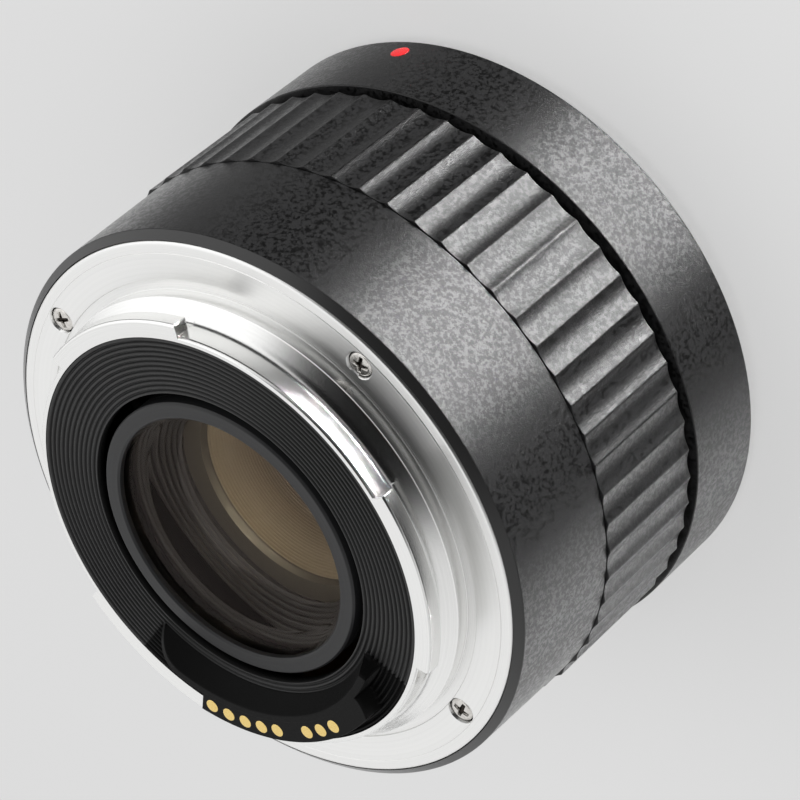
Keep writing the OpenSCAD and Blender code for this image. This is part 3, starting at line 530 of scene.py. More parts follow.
def coatedGlass():
    g = glassBody
    material, tree, shader = finish("coatedGlass", g["color"], 0.0, Transmission_Weight=1.0, IOR=g["ior"],
                                    Specular_IOR_Level=0.12, Specular_Tint=(1.0, 0.72, 0.62, 1))
    dust = use(tree, "dust", Size=0.0006, Amount=0.03).outputs["Speck"]
    tree.links.new(dust, shader.inputs["Roughness"])
    path = node(tree, "ShaderNodeLightPath")
    through = calc(tree, "MAXIMUM", path.outputs["Is Shadow Ray"], path.outputs["Is Diffuse Ray"])
    clear = node(tree, "ShaderNodeBsdfTransparent")
    clear.inputs["Color"].default_value = (0.97, 0.95, 0.90, 1)
    bare = node(tree, "ShaderNodeBsdfRefraction")  # what the coating lets through without a mirror image
    bare.inputs["Color"].default_value = (*g["color"], 1)
    bare.inputs["Roughness"].default_value = 0.0
    bare.inputs["IOR"].default_value = g["ior"]
    coat = node(tree, "ShaderNodeMixShader")
    coat.inputs[0].default_value = g["bareShare"]
    mix = node(tree, "ShaderNodeMixShader")
    tree.links.new(shader.outputs[0], coat.inputs[1])
    tree.links.new(bare.outputs[0], coat.inputs[2])
    tree.links.new(through, mix.inputs[0])
    tree.links.new(coat.outputs[0], mix.inputs[1])
    tree.links.new(clear.outputs[0], mix.inputs[2])
    tree.links.new(mix.outputs[0], tree.nodes["Material Output"].inputs[0])
    return material


def plainGrained(name, low, high, rough, grainSize, metallic=0.0):
    material, tree, shader = finish(name, low, rough, Metallic=metallic)
    grain = use(tree, "grain", Size=grainSize).outputs["Grain"]
    tree.links.new(blended(tree, grain, low, high), shader.inputs["Base Color"])
    roughen(tree, shader, grain, rough - 0.05, rough + 0.08)
    bump(tree, shader, grain, depth=0.000008)
    return material


finishes = {
    "shellPaint": crystalPaint("crystalPaint", smoothRim=False, gloss=0.245, fleckGloss=0.58),
    "collarPaint": crystalPaint("collarCrystalPaint", smoothRim=False, gloss=0.20, fleckGloss=0.52),
    "barrelPaint": crystalPaint("crystalPaintWithRim", smoothRim=True, gloss=0.245, fleckGloss=0.58),
    "chrome": satinChrome(),
    "steel": brightSteel(),
    "plastic": mouldedPlastic("mouldedPlastic", gloss=0.25, low=0.007, high=0.013),
    "bafflePlastic": mouldedPlastic("bafflePlastic", gloss=0.42, low=0.007, high=0.013),
    "blockPlastic": mouldedPlastic("blockPlastic", gloss=0.08, low=0.003, high=0.005),
    "ringBlack": darkAnodised("ringAnodised", (0.011, 0.011, 0.0115), (0.017, 0.0173, 0.018),
                              rough=0.40, gloss=0.33),
    "tubeBlack": lensTube(),
    "spacerBrown": darkAnodised("spacerBrown", (0.006, 0.0045, 0.004), (0.009, 0.007, 0.006),
                                rough=0.5, gloss=0.45),
    "spacerBeige": spacerWithPaintedShade(),
    "gold": goldPlate(),
    "red": redEnamel(),
    "glass": coatedGlass(),
    "bronze": plainGrained("springBronze", (0.50, 0.33, 0.16), (0.62, 0.44, 0.24),
                           rough=0.3, grainSize=0.0002, metallic=1.0),
    "board": plainGrained("boardLaminate", (0.010, 0.075, 0.030), (0.020, 0.11, 0.045),
                          rough=0.4, grainSize=0.0003),
    "chip": plainGrained("chipResin", (0.014, 0.014, 0.014), (0.024, 0.024, 0.024),
                         rough=0.5, grainSize=0.00015),
    "film": plainGrained("amberFilm", (0.030, 0.013, 0.005), (0.045, 0.020, 0.008),
                         rough=0.35, grainSize=0.0004),
}
print("finishes made:", len(finishes))


# Surfaces: a part is its points in mm, its four-sided faces and its end faces

cornerSteps = 3
perCorner = cornerSteps + 3  # points that roundedLoop makes of a corner
sideShare = 0.38  # the most of a side that a rounding takes
guardShare = 0.3  # of the rounding, from its end to the guard point
mergeWithin = 2e-7  # m, points nearer than this become one
# cells round the axis, or along a sector
cellsRound = {"barrel": 400, "ring": 320, "sector": 260, "spacer": 240, "glass": 160, "dot": 64, "lock": 64,
              "pad": 48, "pin": 40}


def roundedLoop(corners, steps=cornerSteps):
    # corner P with rounding d becomes (1-s)^2 A + 2s(1-s) P + s^2 B, where A and B lie d from P on its
    # two sides; one guard point beyond A and one beyond B keep the flats flat
    loop = np.asarray(corners, float)
    point, rounding = loop[..., :2], loop[..., 2:3]
    back = np.roll(point, 1, 0) - point
    ahead = np.roll(point, -1, 0) - point
    backLength = np.linalg.norm(back, axis=-1, keepdims=True)
    aheadLength = np.linalg.norm(ahead, axis=-1, keepdims=True)
    reach = np.minimum(rounding, sideShare * np.minimum(backLength, aheadLength))
    first = point + back / backLength * reach
    last = point + ahead / aheadLength * reach
    s = np.linspace(0, 1, steps + 1).reshape((1, -1) + (1,) * (loop.ndim - 1))
    curve = (1 - s) ** 2 * first[:, None] + 2 * s * (1 - s) * point[:, None] + s ** 2 * last[:, None]
    guardFirst = (first + (first - point) * guardShare)[:, None]
    guardLast = (last + (last - point) * guardShare)[:, None]
    return np.concatenate([guardFirst, curve, guardLast], 1).reshape((-1,) + loop.shape[1:-1] + (2,))


def turned(loop, angles):
    # point (k, j) = (r_k cos a_j, r_k sin a_j, z_k); r and z may change with the angle
    radius, height = loop[..., 0], loop[..., 1]
    if radius.ndim == 1:
        radius, height = radius[:, None], height[:, None]
    flat = np.ones_like(angles)
    return np.stack([radius * np.cos(angles), radius * np.sin(angles), height * flat], -1)


def gridFaces(rows, columns, closeRows=True, closeColumns=True):
    # four corners of each cell, wrapped where the grid closes on itself
    i = np.arange(rows if closeRows else rows - 1)[:, None]
    j = np.arange(columns if closeColumns else columns - 1)[None, :]
    nextI, nextJ = (i + 1) % rows, (j + 1) % columns
    cells = [i * columns + j, i * columns + nextJ, nextI * columns + nextJ, nextI * columns + j]
    return np.stack(np.broadcast_arrays(*cells), -1).reshape(-1, 4)


def wrapped(grid, closeRows=True):
    # part from a grid whose columns close on themselves
    return grid.reshape(-1, 3), gridFaces(*grid.shape[:2], closeRows), []


def shell(loop, angles):
    return wrapped(turned(loop, angles))


def sector(loop, angles):
    # an open turn with its two ends closed by the loop itself
    grid = turned(loop, angles)
    rows, columns = grid.shape[:2]
    start = np.arange(rows) * columns
    end = start[::-1] + columns - 1
    return grid.reshape(-1, 3), gridFaces(rows, columns, True, False), [start, end]


def spun(line, count):
    # a line from axis to axis turned once; its two end rows are merged into poles afterwards
    return wrapped(turned(line, evenAngles(count)), False)


def joined(parts):
    # several parts as one, the faces of each shifted past the points before it
    starts = np.cumsum([0] + [len(part[0]) for part in parts[:-1]])
    points = np.concatenate([part[0] for part in parts])
    quads = np.concatenate([part[1] + start for part, start in zip(parts, starts)])
    caps = [cap + start for part, start in zip(parts, starts) for cap in part[2]]
    return points, quads, caps


def moved(part, place, xAxis=(1, 0, 0), yAxis=(0, 1, 0)):
    axes = np.stack([xAxis, yAxis, np.cross(xAxis, yAxis)], 0)
    return part[0] @ axes + np.array(place), part[1], part[2]


def onCircle(part, orbit, degrees, height=0.0):
    angle = np.radians(degrees)
    out = (np.cos(angle), np.sin(angle), 0)
    side = (-np.sin(angle), np.cos(angle), 0)
    return moved(part, (orbit * out[0], orbit * out[1], height), out, side)


def makePiece(name, part, material, nodes, body="converter_body"):
    points, quads, caps = part
    mesh = bpy.data.meshes.new(name)
    mesh.from_pydata((points * mm).tolist(), [], quads.tolist() + [cap.tolist() for cap in caps])
    work = bmesh.new()
    work.from_mesh(mesh)
    bmesh.ops.remove_doubles(work, verts=work.verts, dist=mergeWithin)
    work.to_mesh(mesh)
    work.free()
    mesh.polygons.foreach_set("use_smooth", np.ones(len(mesh.polygons), bool))
    mesh.materials.append(material)
    piece = bpy.data.objects.new(name, mesh)
    bpy.context.scene.collection.objects.link(piece)
    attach(piece, body)
    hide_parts(*nodes)
    return piece


def evenAngles(count):
    return np.arange(count) * turn / count


def outsideCut(cut):
    # the angles of a turn that leaves out the cut, which is in degrees
    return np.radians(np.linspace(cut[1], cut[0] + 360, cellsRound["sector"]))


def eased(share):
    # smooth step from 0 to 1
    s = np.clip(share, 0, 1)
    return s * s * (3 - 2 * s)


def sag(radius, curve):
    return curve - np.sqrt(curve ** 2 - radius ** 2)


# Barrel, grip and collar

barrel = {
    "innerR": 31.55, "footR": 33.7, "endR": 33.5, "foot": 26.75, "rimFoot": 41.07,
    "rimR": 32.95, "rimMid": 41.49, "lipR": 32.6, "lipTop": 41.75, "flangeR": 32.55, "seat": 40.3,
}


def makeBarrel():
    b = barrel
    loop = roundedLoop([
        (b["innerR"], b["foot"], 0.05), (b["footR"], b["foot"], 0.10), (b["endR"], b["rimFoot"], 0.10),
        (b["rimR"], b["rimMid"], 0.10), (b["lipR"], b["lipTop"], 0.06), (b["flangeR"], b["lipTop"], 0.02),
        (b["flangeR"], b["seat"], 0.05), (b["innerR"], b["seat"], 0.05)])
    part = shell(loop, evenAngles(cellsRound["barrel"]))
    makePiece("rearBarrelShell", part, finishes["barrelPaint"], ["rear_barrel"])


grip = {
    "innerR": 31.55, "valleyR": 33.74, "fluteR": 4.4, "flutes": 60,
    "foot": 11.7, "top": 26.7, "cusp": 0.26, "endRound": 0.07, "boreRound": 0.05,
    "valleyTo": 2.2, "cuspFrom": 2.4, "cells": 8,
}


def makeGrip():
    # shallow round flutes, r = c cos a - sqrt(f^2 - (c sin a)^2) with c = valley + f, that meet in soft cusps
    g = grip
    pitch = 360 / g["flutes"]
    valley = np.linspace(0, g["valleyTo"], g["cells"])
    half = np.concatenate([valley, np.linspace(g["cuspFrom"], pitch / 2, g["cells"])])
    one = np.unique(np.concatenate([-half[1:-1], half]))
    degrees = (np.arange(g["flutes"])[:, None] * pitch + one).ravel()
    offset = np.abs((degrees + pitch / 2) % pitch - pitch / 2)
    offset = pitch / 2 - offset
    offset = np.radians(pitch / 2 - np.sqrt(offset ** 2 + g["cusp"] ** 2) + g["cusp"] ** 2 / pitch)
    centre = g["valleyR"] + g["fluteR"]
    outer = centre * np.cos(offset) - np.sqrt(g["fluteR"] ** 2 - (centre * np.sin(offset)) ** 2)

    def corner(r, z, rounding):
        return np.stack(np.broadcast_arrays(r, z, rounding + 0 * outer), -1)

    corners = np.stack([
        corner(g["innerR"], g["foot"], g["boreRound"]), corner(outer, g["foot"], g["endRound"]),
        corner(outer, g["top"], g["endRound"]), corner(g["innerR"], g["top"], g["boreRound"])])
    part = shell(roundedLoop(corners), np.radians(degrees))
    makePiece("flutedGripSleeve", part, finishes["shellPaint"], ["grip_sleeve"])


collar = {
    "innerR": 31.55, "lipR": 32.05, "outerR": 34.4, "foot": 0.3, "seat": 1.6, "top": 10.7,
    "windowHalf": 2.5, "windowFoot": 3.8, "windowTop": 7.8, "windowCells": 8, "columns": 382,
    "edgeSlack": 0.01, "wallSlack": 1e-6,
}


def makeCollar():
    # columns follow y = constant inside the window, so angle = pi + asin(y / r), and spread evenly outside it
    c = collar
    loop = roundedLoop([
        (c["innerR"], c["seat"], 0.05), (c["lipR"], c["seat"], 0.05), (c["lipR"], c["foot"], 0.05),
        (c["outerR"], c["foot"], 0.18), (c["outerR"], c["windowFoot"], 0.02),
        (c["outerR"], c["windowTop"], 0.02), (c["outerR"], c["top"], 0.12), (c["innerR"], c["top"], 0.05),
        (c["innerR"], c["windowTop"], 0.02), (c["innerR"], c["windowFoot"], 0.02)], 2)
    radius, height = loop[:, :1], loop[:, 1:]
    edge = np.arcsin(c["windowHalf"] / radius)
    inside = np.arcsin(np.linspace(-1, 1, c["windowCells"] + 1)[None, :] * c["windowHalf"] / radius)
    outside = edge + (turn - 2 * edge) * np.linspace(0, 1, c["columns"])[None, 1:-1]
    angles = np.pi + np.concatenate([inside, outside], 1)
    grid = np.stack([radius * np.cos(angles), radius * np.sin(angles), height + 0 * angles], -1)
    rows, columns = grid.shape[:2]
    faces = gridFaces(rows, columns)
    points = grid.reshape(-1, 3)
    middle = points[faces].mean(1)
    opened = (np.abs(middle[:, 1]) < c["windowHalf"] - c["edgeSlack"]) & (middle[:, 0] < 0)
    opened &= (middle[:, 2] > c["windowFoot"]) & (middle[:, 2] < c["windowTop"])

    def rowAt(r, z):
        # the row nearest to height z on the wall of radius r
        wall = np.flatnonzero(np.abs(radius[:, 0] - r) < c["wallSlack"])
        return wall[np.argmin(np.abs(height[wall, 0] - z))]

    lowOut, highOut = rowAt(c["outerR"], c["windowFoot"]), rowAt(c["outerR"], c["windowTop"])
    lowIn, highIn = rowAt(c["innerR"], c["windowFoot"]), rowAt(c["innerR"], c["windowTop"])
    j = np.arange(c["windowCells"])
    inSill, outSill = lowIn * columns + j, lowOut * columns + j
    inHead, outHead = highIn * columns + j, highOut * columns + j
    sill = np.stack([inSill + 1, inSill, outSill, outSill + 1], -1)
    head = np.stack([outHead + 1, outHead, inHead, inHead + 1], -1)
    outRows = np.arange(lowOut, highOut + 1)
    inRows = np.arange(lowIn, highIn - 1, -1)
    firstJamb = np.concatenate([outRows, inRows[::-1]]) * columns
    lastJamb = np.concatenate([outRows[::-1], inRows]) * columns + c["windowCells"]
    part = points, np.concatenate([faces[~opened], sill, head]), [firstJamb, lastJamb]
    makePiece("frontCollarShell", part, finishes["collarPaint"], ["front_collar"])


makeBarrel()
makeGrip()
makeCollar()
print("barrel, grip and collar made")


# Bayonets

bothMounts = {
    "lugs": ((-27, 21.5), (84, 131), (204.5, 252)), "lugEase": 0.30,
    "screws": (45, 135, 225, 315), "orbit": 29.55, "boreR": 1.52, "holeAt": 180, "holeOrbit": 29.75,
}
# each mount: face gives its first and last radius, height and rows, and sinkRows how many rows before and
# after it the holes may reach; corners (radius, height, rounding) stand before and after the face, and the
# outline then ends bare or with a lug
rearMount = {
    **bothMounts, "boreZ": 41.0, "holeHalf": 0.6, "holeR": 1.35, "holeZ": 40.7,
    "face": (31.05, 28.24, 42.0, 43), "sinkRows": (-12, 6),
    "before": [
        (24.54, 38.8, 0.05), (27.55, 38.8, 0.05), (27.55, 40.3, 0.05), (32.5, 40.3, 0.05),
        (32.5, 41.90, 0.34), (31.26, 41.975, 0.02), (31.20, 41.91, 0.02), (31.15, 42.0, 0.02)],
    "after": [
        (28.1, 42.0, 0.10), (28.05, 41.78, 0.03), (27.08, 41.78, 0.03), (27.08, 41.98, 0.05),
        (27.0, 42.02, 0.02), (27.0, 43.5, 0.07), (26.9, 43.54, 0.02)],
    "bare": [
        (25.2, 44.9, 0.85), (25.2, 46.5, 0.1), (25.2, 46.9, 0.1), (25.2, 47.4, 0.1), (25.05, 47.7, 0.1),
        (24.54, 47.7, 0.08)],
    "lugged": [
        (25.2, 44.9, 0.38), (25.2, 45.9, 0.08), (26.55, 45.9, 0.08), (26.55, 47.5, 0.08), (26.35, 47.7, 0.08),
        (24.54, 47.7, 0.08)],
}
frontMount = {
    **bothMounts, "boreZ": 0.98, "holeHalf": 0.0, "holeR": 1.27, "holeZ": 1.4,
    "face": (27.8, 31.2, 0.0, 50), "sinkRows": (-3, 2),
    "before": [(27.05, 0.0, 0.10)],
    "after": [
        (31.7, 0.0, 0.06), (32.0, 0.3, 0.06), (32.0, 1.6, 0.05), (28.25, 1.6, 0.05), (28.25, 3.65, 0.05),
        (27.45, 3.65, 0.05)],
    "bare": [
        (27.45, 3.55, 0.03), (27.45, 3.2, 0.05), (27.45, 2.0, 0.05), (27.45, 1.78, 0.03),
        (27.05, 1.75, 0.05)],
    "lugged": [
        (27.45, 3.6, 0.03), (25.5, 3.6, 0.10), (25.5, 1.78, 0.10), (27.0, 1.76, 0.02), (27.05, 1.75, 0.02)],
}


def lugWeight(degrees, spans, ease):
    # 1 inside a span and 0 outside, through a smooth step of the given width at each end
    weight = np.zeros_like(degrees)
    for start, stop in spans:
        middle, half = (start + stop) / 2, (stop - start) / 2
        gap = half - np.abs((degrees - middle + 180) % 360 - 180)
        weight = np.maximum(weight, eased(gap / ease))
    return weight


def sunk(grid, centre, half, radius, floor, soft=0.07):
    # lower the face inside a round or long hole: depth follows the distance to the hole's middle line
    along = np.clip(grid[..., 1] - centre[1], -half, half)
    away = np.hypot(grid[..., 0] - centre[0], grid[..., 1] - centre[1] - along)
    grid[..., 2] += (floor - grid[..., 2]) * eased((radius + soft / 2 - away) / soft)


mountSteps = {"count": 240, "nearHole": 3.6, "holeStep": 0.15, "nearLug": 0.5, "lugSteps": 11}


def mountAngles(m):
    # even angles in degrees, closer together round the holes and at the ends of the lugs
    s = mountSteps
    spots = np.array([*m["screws"], m["holeAt"]], float)
    loose = np.arange(s["count"]) * 360 / s["count"]
    gap = np.abs((loose[:, None] - spots + 180) % 360 - 180).min(1)
    loose = loose[gap > s["nearHole"] + s["holeStep"] / 2]
    hole = np.arange(-s["nearHole"], s["nearHole"] + s["holeStep"] / 2, s["holeStep"])
    holes = (spots[:, None] + hole).ravel() % 360
    end = np.linspace(-s["nearLug"], s["nearLug"], s["lugSteps"])
    ends = (np.array(m["lugs"]).reshape(-1, 1) + end).ravel() % 360
    return np.unique(np.round(np.concatenate([loose, holes, ends]), 4))


def mountPart(m):
    # outline = bare + (lugged - bare) * lugWeight, turned, with the screw bores and a hole sunk into its face
    degrees = mountAngles(m)
    first, last, height, count = m["face"]
    face = np.stack([np.linspace(first, last, count), np.full(count, height)], -1)
    split = len(m["before"]) * perCorner
    outlines = []
    for tail in (m["bare"], m["lugged"]):
        loop = roundedLoop(m["before"] + m["after"] + tail)
        outlines.append(np.concatenate([loop[:split], face, loop[split:]])[:, None])
    weight = lugWeight(degrees, m["lugs"], m["lugEase"])[None, :, None]
    grid = turned(outlines[0] + (outlines[1] - outlines[0]) * weight, np.radians(degrees))
    top = grid[split + m["sinkRows"][0]:split + count + m["sinkRows"][1]]
    for angle in np.radians(m["screws"]):
        sunk(top, (m["orbit"] * np.cos(angle), m["orbit"] * np.sin(angle)), 0.0, m["boreR"], m["boreZ"])
    sunk(top, (-m["holeOrbit"], 0.0), m["holeHalf"], m["holeR"], m["holeZ"])
    return wrapped(grid)


makePiece("rearBayonet", mountPart(rearMount), finishes["chrome"], ["camera_bayonet"])
makePiece("frontBayonet", mountPart(frontMount), finishes["chrome"], ["lens_bayonet"])
print("bayonets made")


# Screws

bigScrew = {"headR": 1.38, "headH": 0.85, "crown": 0.16, "edge": 0.16, "shankR": 0.78, "shank": 4.8,
            "armLength": 0.92, "armWidth": 0.20, "recess": 0.55}
smallScrew = {"headR": 0.95, "headH": 0.75, "crown": 0.12, "edge": 0.12, "shankR": 0.5, "shank": 2.4,
              "armLength": 0.62, "armWidth": 0.14, "recess": 0.42}
cross = {"flare": 1.25, "taper": 0.4, "shallow": 0.45, "soft": 0.09, "reach": 1.25, "rimReach": 1.2,
         "rings": 30, "spokes": 96, "rimSteps": 6}


def crossScrew(s):
    # head: a low crown z = -crown (p/R)^2 with a cross sunk into it by the distance to the nearer arm
    fine = np.linspace(0, s["armLength"] * cross["reach"], cross["rings"])
    reach = np.concatenate([fine, [s["headR"] - s["edge"] * cross["rimReach"]]])
    angles = evenAngles(cross["spokes"])
    rho = reach[:, None] * np.ones_like(angles)
    x, y = rho * np.cos(angles), rho * np.sin(angles)
    z = -s["crown"] * (rho / s["headR"]) ** 2

    def arm(along, side):
        half = s["armWidth"] * (cross["flare"] - cross["taper"] * np.abs(along))
        return np.maximum(np.abs(along) - s["armLength"], np.abs(side) - half)

    depth = s["recess"] * (1 - cross["shallow"] * rho / s["armLength"])
    z = z - depth * eased(0.5 - np.minimum(arm(x, y), arm(y, x)) / cross["soft"])
    head = np.stack([x, y, z], -1)
    a = np.linspace(0, np.pi / 2, cross["rimSteps"])[:, None]
    rimR = s["headR"] - s["edge"] + s["edge"] * np.sin(a)
    rimZ = -s["crown"] - s["edge"] + s["edge"] * np.cos(a)
    downR = np.concatenate([rimR, np.array([[s["headR"]], [s["shankR"]], [s["shankR"]], [0.0]])])
    downZ = np.concatenate([rimZ, np.array([[-s["headH"]], [-s["headH"]], [-s["shank"]], [-s["shank"]]])])
    flat = np.ones_like(angles)
    side = np.stack([downR * np.cos(angles), downR * np.sin(angles), downZ * flat], -1)
    return wrapped(np.concatenate([head, side])[::-1], False)


def screwRing(spec, orbit, degrees, height, up, turns):
    # copies of one screw on a circle, heads up or down, each with its own turn of the cross
    parts = []
    one = crossScrew(spec)
    for angle, twist in zip(degrees, turns):
        a = np.radians(twist)
        x = (np.cos(a), np.sin(a), 0)
        y = (-np.sin(a), np.cos(a), 0) if up else (np.sin(a), -np.cos(a), 0)
        placed = moved(one, (0, 0, 0), x, y)
        parts.append(onCircle(placed, orbit, angle, height))
    return joined(parts)


mountRing = (bothMounts["orbit"], bothMounts["screws"])
screwSets = {
    "camera_bayonet_screws": (bigScrew, *mountRing, 41.96, True, (20, 52, 75, 8)),
    "lens_bayonet_screws": (bigScrew, *mountRing, 0.04, False, (10, 40, 70, 25)),
    "light_shield_screws": (smallScrew, 26.35, (20, 140, 260), 8.2, False, (15, 60, 33)),
    "front_block_screws": (smallScrew, 22.6, (-126, -47), 8.2, False, (5, 48)),
}
for screwNode, values in screwSets.items():
    words = screwNode.split("_")
    pieceName = words[0] + "".join(word.title() for word in words[1:])
    makePiece(pieceName, screwRing(*values), finishes["steel"], [screwNode])
print("screws made:", len(screwSets), "sets")


# Rear baffle, contact block and contacts

baffle = {
    "outerR": 24.49, "innerR": 17.72, "outerZ": 47.65, "innerZ": 47.3, "plate": 1.2, "wall": 0.9,
    "footR": 27.3, "footTop": 38.75, "footUnder": 37.5, "landOut": 0.2, "landIn": 0.1, "ridges": 11,
    "depth": 0.32, "sharp": 1.7, "cut": (-137.5, -35.2), "innerRidges": 2,
    "rim": ((0.0, -0.06), (-0.02, -0.02), (-0.06, 0.0)), "eyeRim": ((0.05, 0.0), (0.01, -0.02), (0.0, -0.06)),
}


def ridgeHeight(r):
    # face falls evenly from rim to eye, less depth * ((1 - cos 2 pi t) / 2) ** sharp in each ridge t
    b = baffle
    t = (b["outerR"] - b["landOut"] - r) / ridgePitch()
    slope = (b["outerZ"] - b["innerZ"]) / (b["outerR"] - b["innerR"])
    inside = (t > 0) & (t < b["ridges"])
    cut = b["depth"] * ((1 - np.cos(turn * t)) / 2) ** b["sharp"]
    return b["innerZ"] + (r - b["innerR"]) * slope - inside * cut


def ridgePitch():
    b = baffle
    return (b["outerR"] - b["landOut"] - b["innerR"] - b["landIn"]) / b["ridges"]


def ridgeRun(first, last, count, perRidge=10):
    r = np.linspace(first, last, count * perRidge + 1)
    return np.stack([r, ridgeHeight(r)], -1)


def makeBaffle():
    b = baffle
    seam = b["innerR"] + b["landIn"] + b["innerRidges"] * ridgePitch()
    back = b["innerZ"] - b["plate"]
    wallR = b["outerR"] - b["wall"]
    outer = np.concatenate([
        [(seam, back), (wallR, back), (wallR, b["footUnder"]), (b["footR"], b["footUnder"]),
         (b["footR"], b["footTop"]), (b["outerR"], b["footTop"])],
        np.array((b["outerR"], b["outerZ"])) + b["rim"],
        ridgeRun(b["outerR"] - b["landOut"], seam, b["ridges"] - b["innerRidges"])])
    eye = np.concatenate([
        [(b["innerR"], back), (seam, back)], ridgeRun(seam, b["innerR"] + b["landIn"], b["innerRidges"]),
        np.array((b["innerR"], b["innerZ"])) + b["eyeRim"]])
    part = joined([sector(outer, outsideCut(b["cut"])), shell(eye, evenAngles(cellsRound["ring"]))])
    makePiece("rearBaffle", part, finishes["bafflePlastic"], ["rear_baffle"])


block = {
    "span": (-137.45, -35.25), "wallSpan": (-137.0, -36.6), "riseTo": -121.5, "riseShape": 2.6,
    "facet": (-117.6, -113.4), "endAt": -46.3, "endSkew": 0.9, "skewFrom": 21.3, "endSpan": (-50.5, -45.5),
    "footR": 18.9, "footZ": 47.32, "topR": 20.2, "topZ": 49.97, "wall": 0.85, "platformR": 23.5,
    "platformZ": 49.95, "deckR": 24.4, "low": 46.8, "under": 44.5, "backR": 22.8, "flangeR": 27.3,
    "flangeTop": 38.75, "flangeUnder": 37.5, "lip": 0.02, "wallSoft": 0.15, "endSoft": 0.3, "skewPower": 1.5,
    "platformEdge": ((0.0, 0.25), (0.0, 0.08), (0.03, 0.02)), "edgeIn": 0.07, "overlap": 0.02,
    "wallFoot": (0.14, 0.08), "wallEdge": ((0.03, 0.03), (0.08, 0.0), (0.14, 0.0)),
    "crestEdge": ((0.14, 0.0), (0.07, 0.0), (-0.01, -0.02), (-0.05, -0.08), (-0.10, -0.18)),
    "footEdge": (0.12, 0.2), "near": 0.2, "deckRows": 24, "platformRows": 96,
    "columns": {"span": 170, "rise": 60, "facet": 30, "end": 60, "wallEnd": 9},
}


def makeContactBlock():
    # section carried along the angle a: slope and wall climb as top(a) = foot + rise (1 - (1 - s)^shape) at
    # the left end; outside the wall the height is the larger of the ridged deck and the platform(r, a)
    b = block
    columns, near = b["columns"], b["near"]
    wallStart, wallEnd = b["wallSpan"]
    degrees = np.unique(np.round(np.concatenate([
        np.linspace(*b["span"], columns["span"]), np.linspace(wallStart, b["riseTo"], columns["rise"]),
        np.linspace(b["facet"][0] - near, b["facet"][1] + near, columns["facet"]),
        np.linspace(*b["endSpan"], columns["end"]),
        np.linspace(wallEnd - near, wallEnd + near, columns["wallEnd"])]), 4))
    s = np.clip((degrees - wallStart) / (b["riseTo"] - wallStart), 0, 1)
    ends = np.clip((wallEnd - degrees) / b["wallSoft"] + 0.5, 0, 1)
    climb = (1 - (1 - s) ** b["riseShape"]) * ends
    top = b["footZ"] + b["lip"] + (b["topZ"] - b["footZ"] - b["lip"]) * climb
    crest = b["footR"] + (b["topR"] - b["footR"]) * (top - b["footZ"]) / (b["topZ"] - b["footZ"])
    outer = crest + b["wall"]
    ramp = np.clip((degrees - b["facet"][0]) / (b["facet"][1] - b["facet"][0]), 0, 1)

    def deck(r, drop=0.0):
        end = b["endAt"] - b["endSkew"] * np.maximum(r - b["skewFrom"], 0) ** b["skewPower"]
        share = ramp * np.clip((end - degrees) / b["endSoft"] + 0.5, 0, 1)
        return np.maximum(ridgeHeight(r), b["low"] + (b["platformZ"] - drop - b["low"]) * share)

    def row(r, z):
        return np.stack(np.broadcast_arrays(r * np.ones_like(degrees), z), -1)

    deckRun = np.linspace(b["deckR"], b["platformR"] + b["overlap"], b["deckRows"])[:, None]
    edge = b["platformR"] - b["edgeIn"]
    platformRun = edge + (outer + b["overlap"] - edge) * np.linspace(0, 1, b["platformRows"])[:, None]
    rows = [row(b["footR"], b["under"]), row(b["backR"], b["under"]), row(b["backR"], b["flangeUnder"]),
            row(b["flangeR"], b["flangeUnder"]), row(b["flangeR"], b["flangeTop"]),
            row(b["deckR"], b["flangeTop"])]
    rows += [row(r, ridgeHeight(r)) for r in deckRun]
    for inset, drop in b["platformEdge"]:
        rows.append(row(b["platformR"] - inset, deck(b["platformR"] - inset, drop)))
    rows += [row(r, deck(r)) for r in platformRun]
    rows += [row(outer, np.maximum(deck(outer), top - drop)) for drop in b["wallFoot"]]
    rows += [row(outer - inset, top - drop) for inset, drop in b["wallEdge"]]
    rows += [row(crest + out, np.maximum(top + rise, b["footZ"])) for out, rise in b["crestEdge"]]
    rows.append(row(b["footR"] + b["footEdge"][0], np.minimum(b["footZ"] + b["footEdge"][1], top)))
    rows.append(row(b["footR"], b["footZ"]))
    part = sector(np.stack(rows), np.radians(degrees))
    makePiece("contactBlock", part, finishes["blockPlastic"], ["contact_block"])


contacts = {
    "orbit": 22.2, "first": -110.0, "step": 5.875, "slots": (0, 1, 2, 3, 4, 6, 7, 8),
    "padR": 0.78, "padFoot": 48.2, "padTop": 50.0, "roundR": 0.12, "roundZ": 0.05, "crown": 0.02,
    "flatR": 0.3, "flatFall": 0.006, "rimSteps": 6,
}


def contactAngles():
    return contacts["first"] + contacts["step"] * np.array(contacts["slots"])


def makePads():
    # slightly crowned pad with a rounded rim, turned about its own axis
    c = contacts
    a = np.linspace(0, np.pi / 2, c["rimSteps"])
    rimR = c["padR"] - c["roundR"] + c["roundR"] * np.cos(a)
    rimZ = c["padTop"] - c["crown"] - c["roundZ"] + c["roundZ"] * np.sin(a)
    line = np.concatenate([
        [(0, c["padFoot"]), (c["padR"], c["padFoot"])], np.stack([rimR, rimZ], -1),
        [(c["flatR"], c["padTop"] - c["flatFall"]), (0, c["padTop"])]])
    one = spun(line, cellsRound["pad"])
    pads = joined([onCircle(one, c["orbit"], angle) for angle in contactAngles()])
    makePiece("rearContactPads", pads, finishes["gold"], ["rear_contacts"])


makeBaffle()
makeContactBlock()
makePads()
print("baffle, contact block and pads made")


# Lens tube rings, spacers and glass

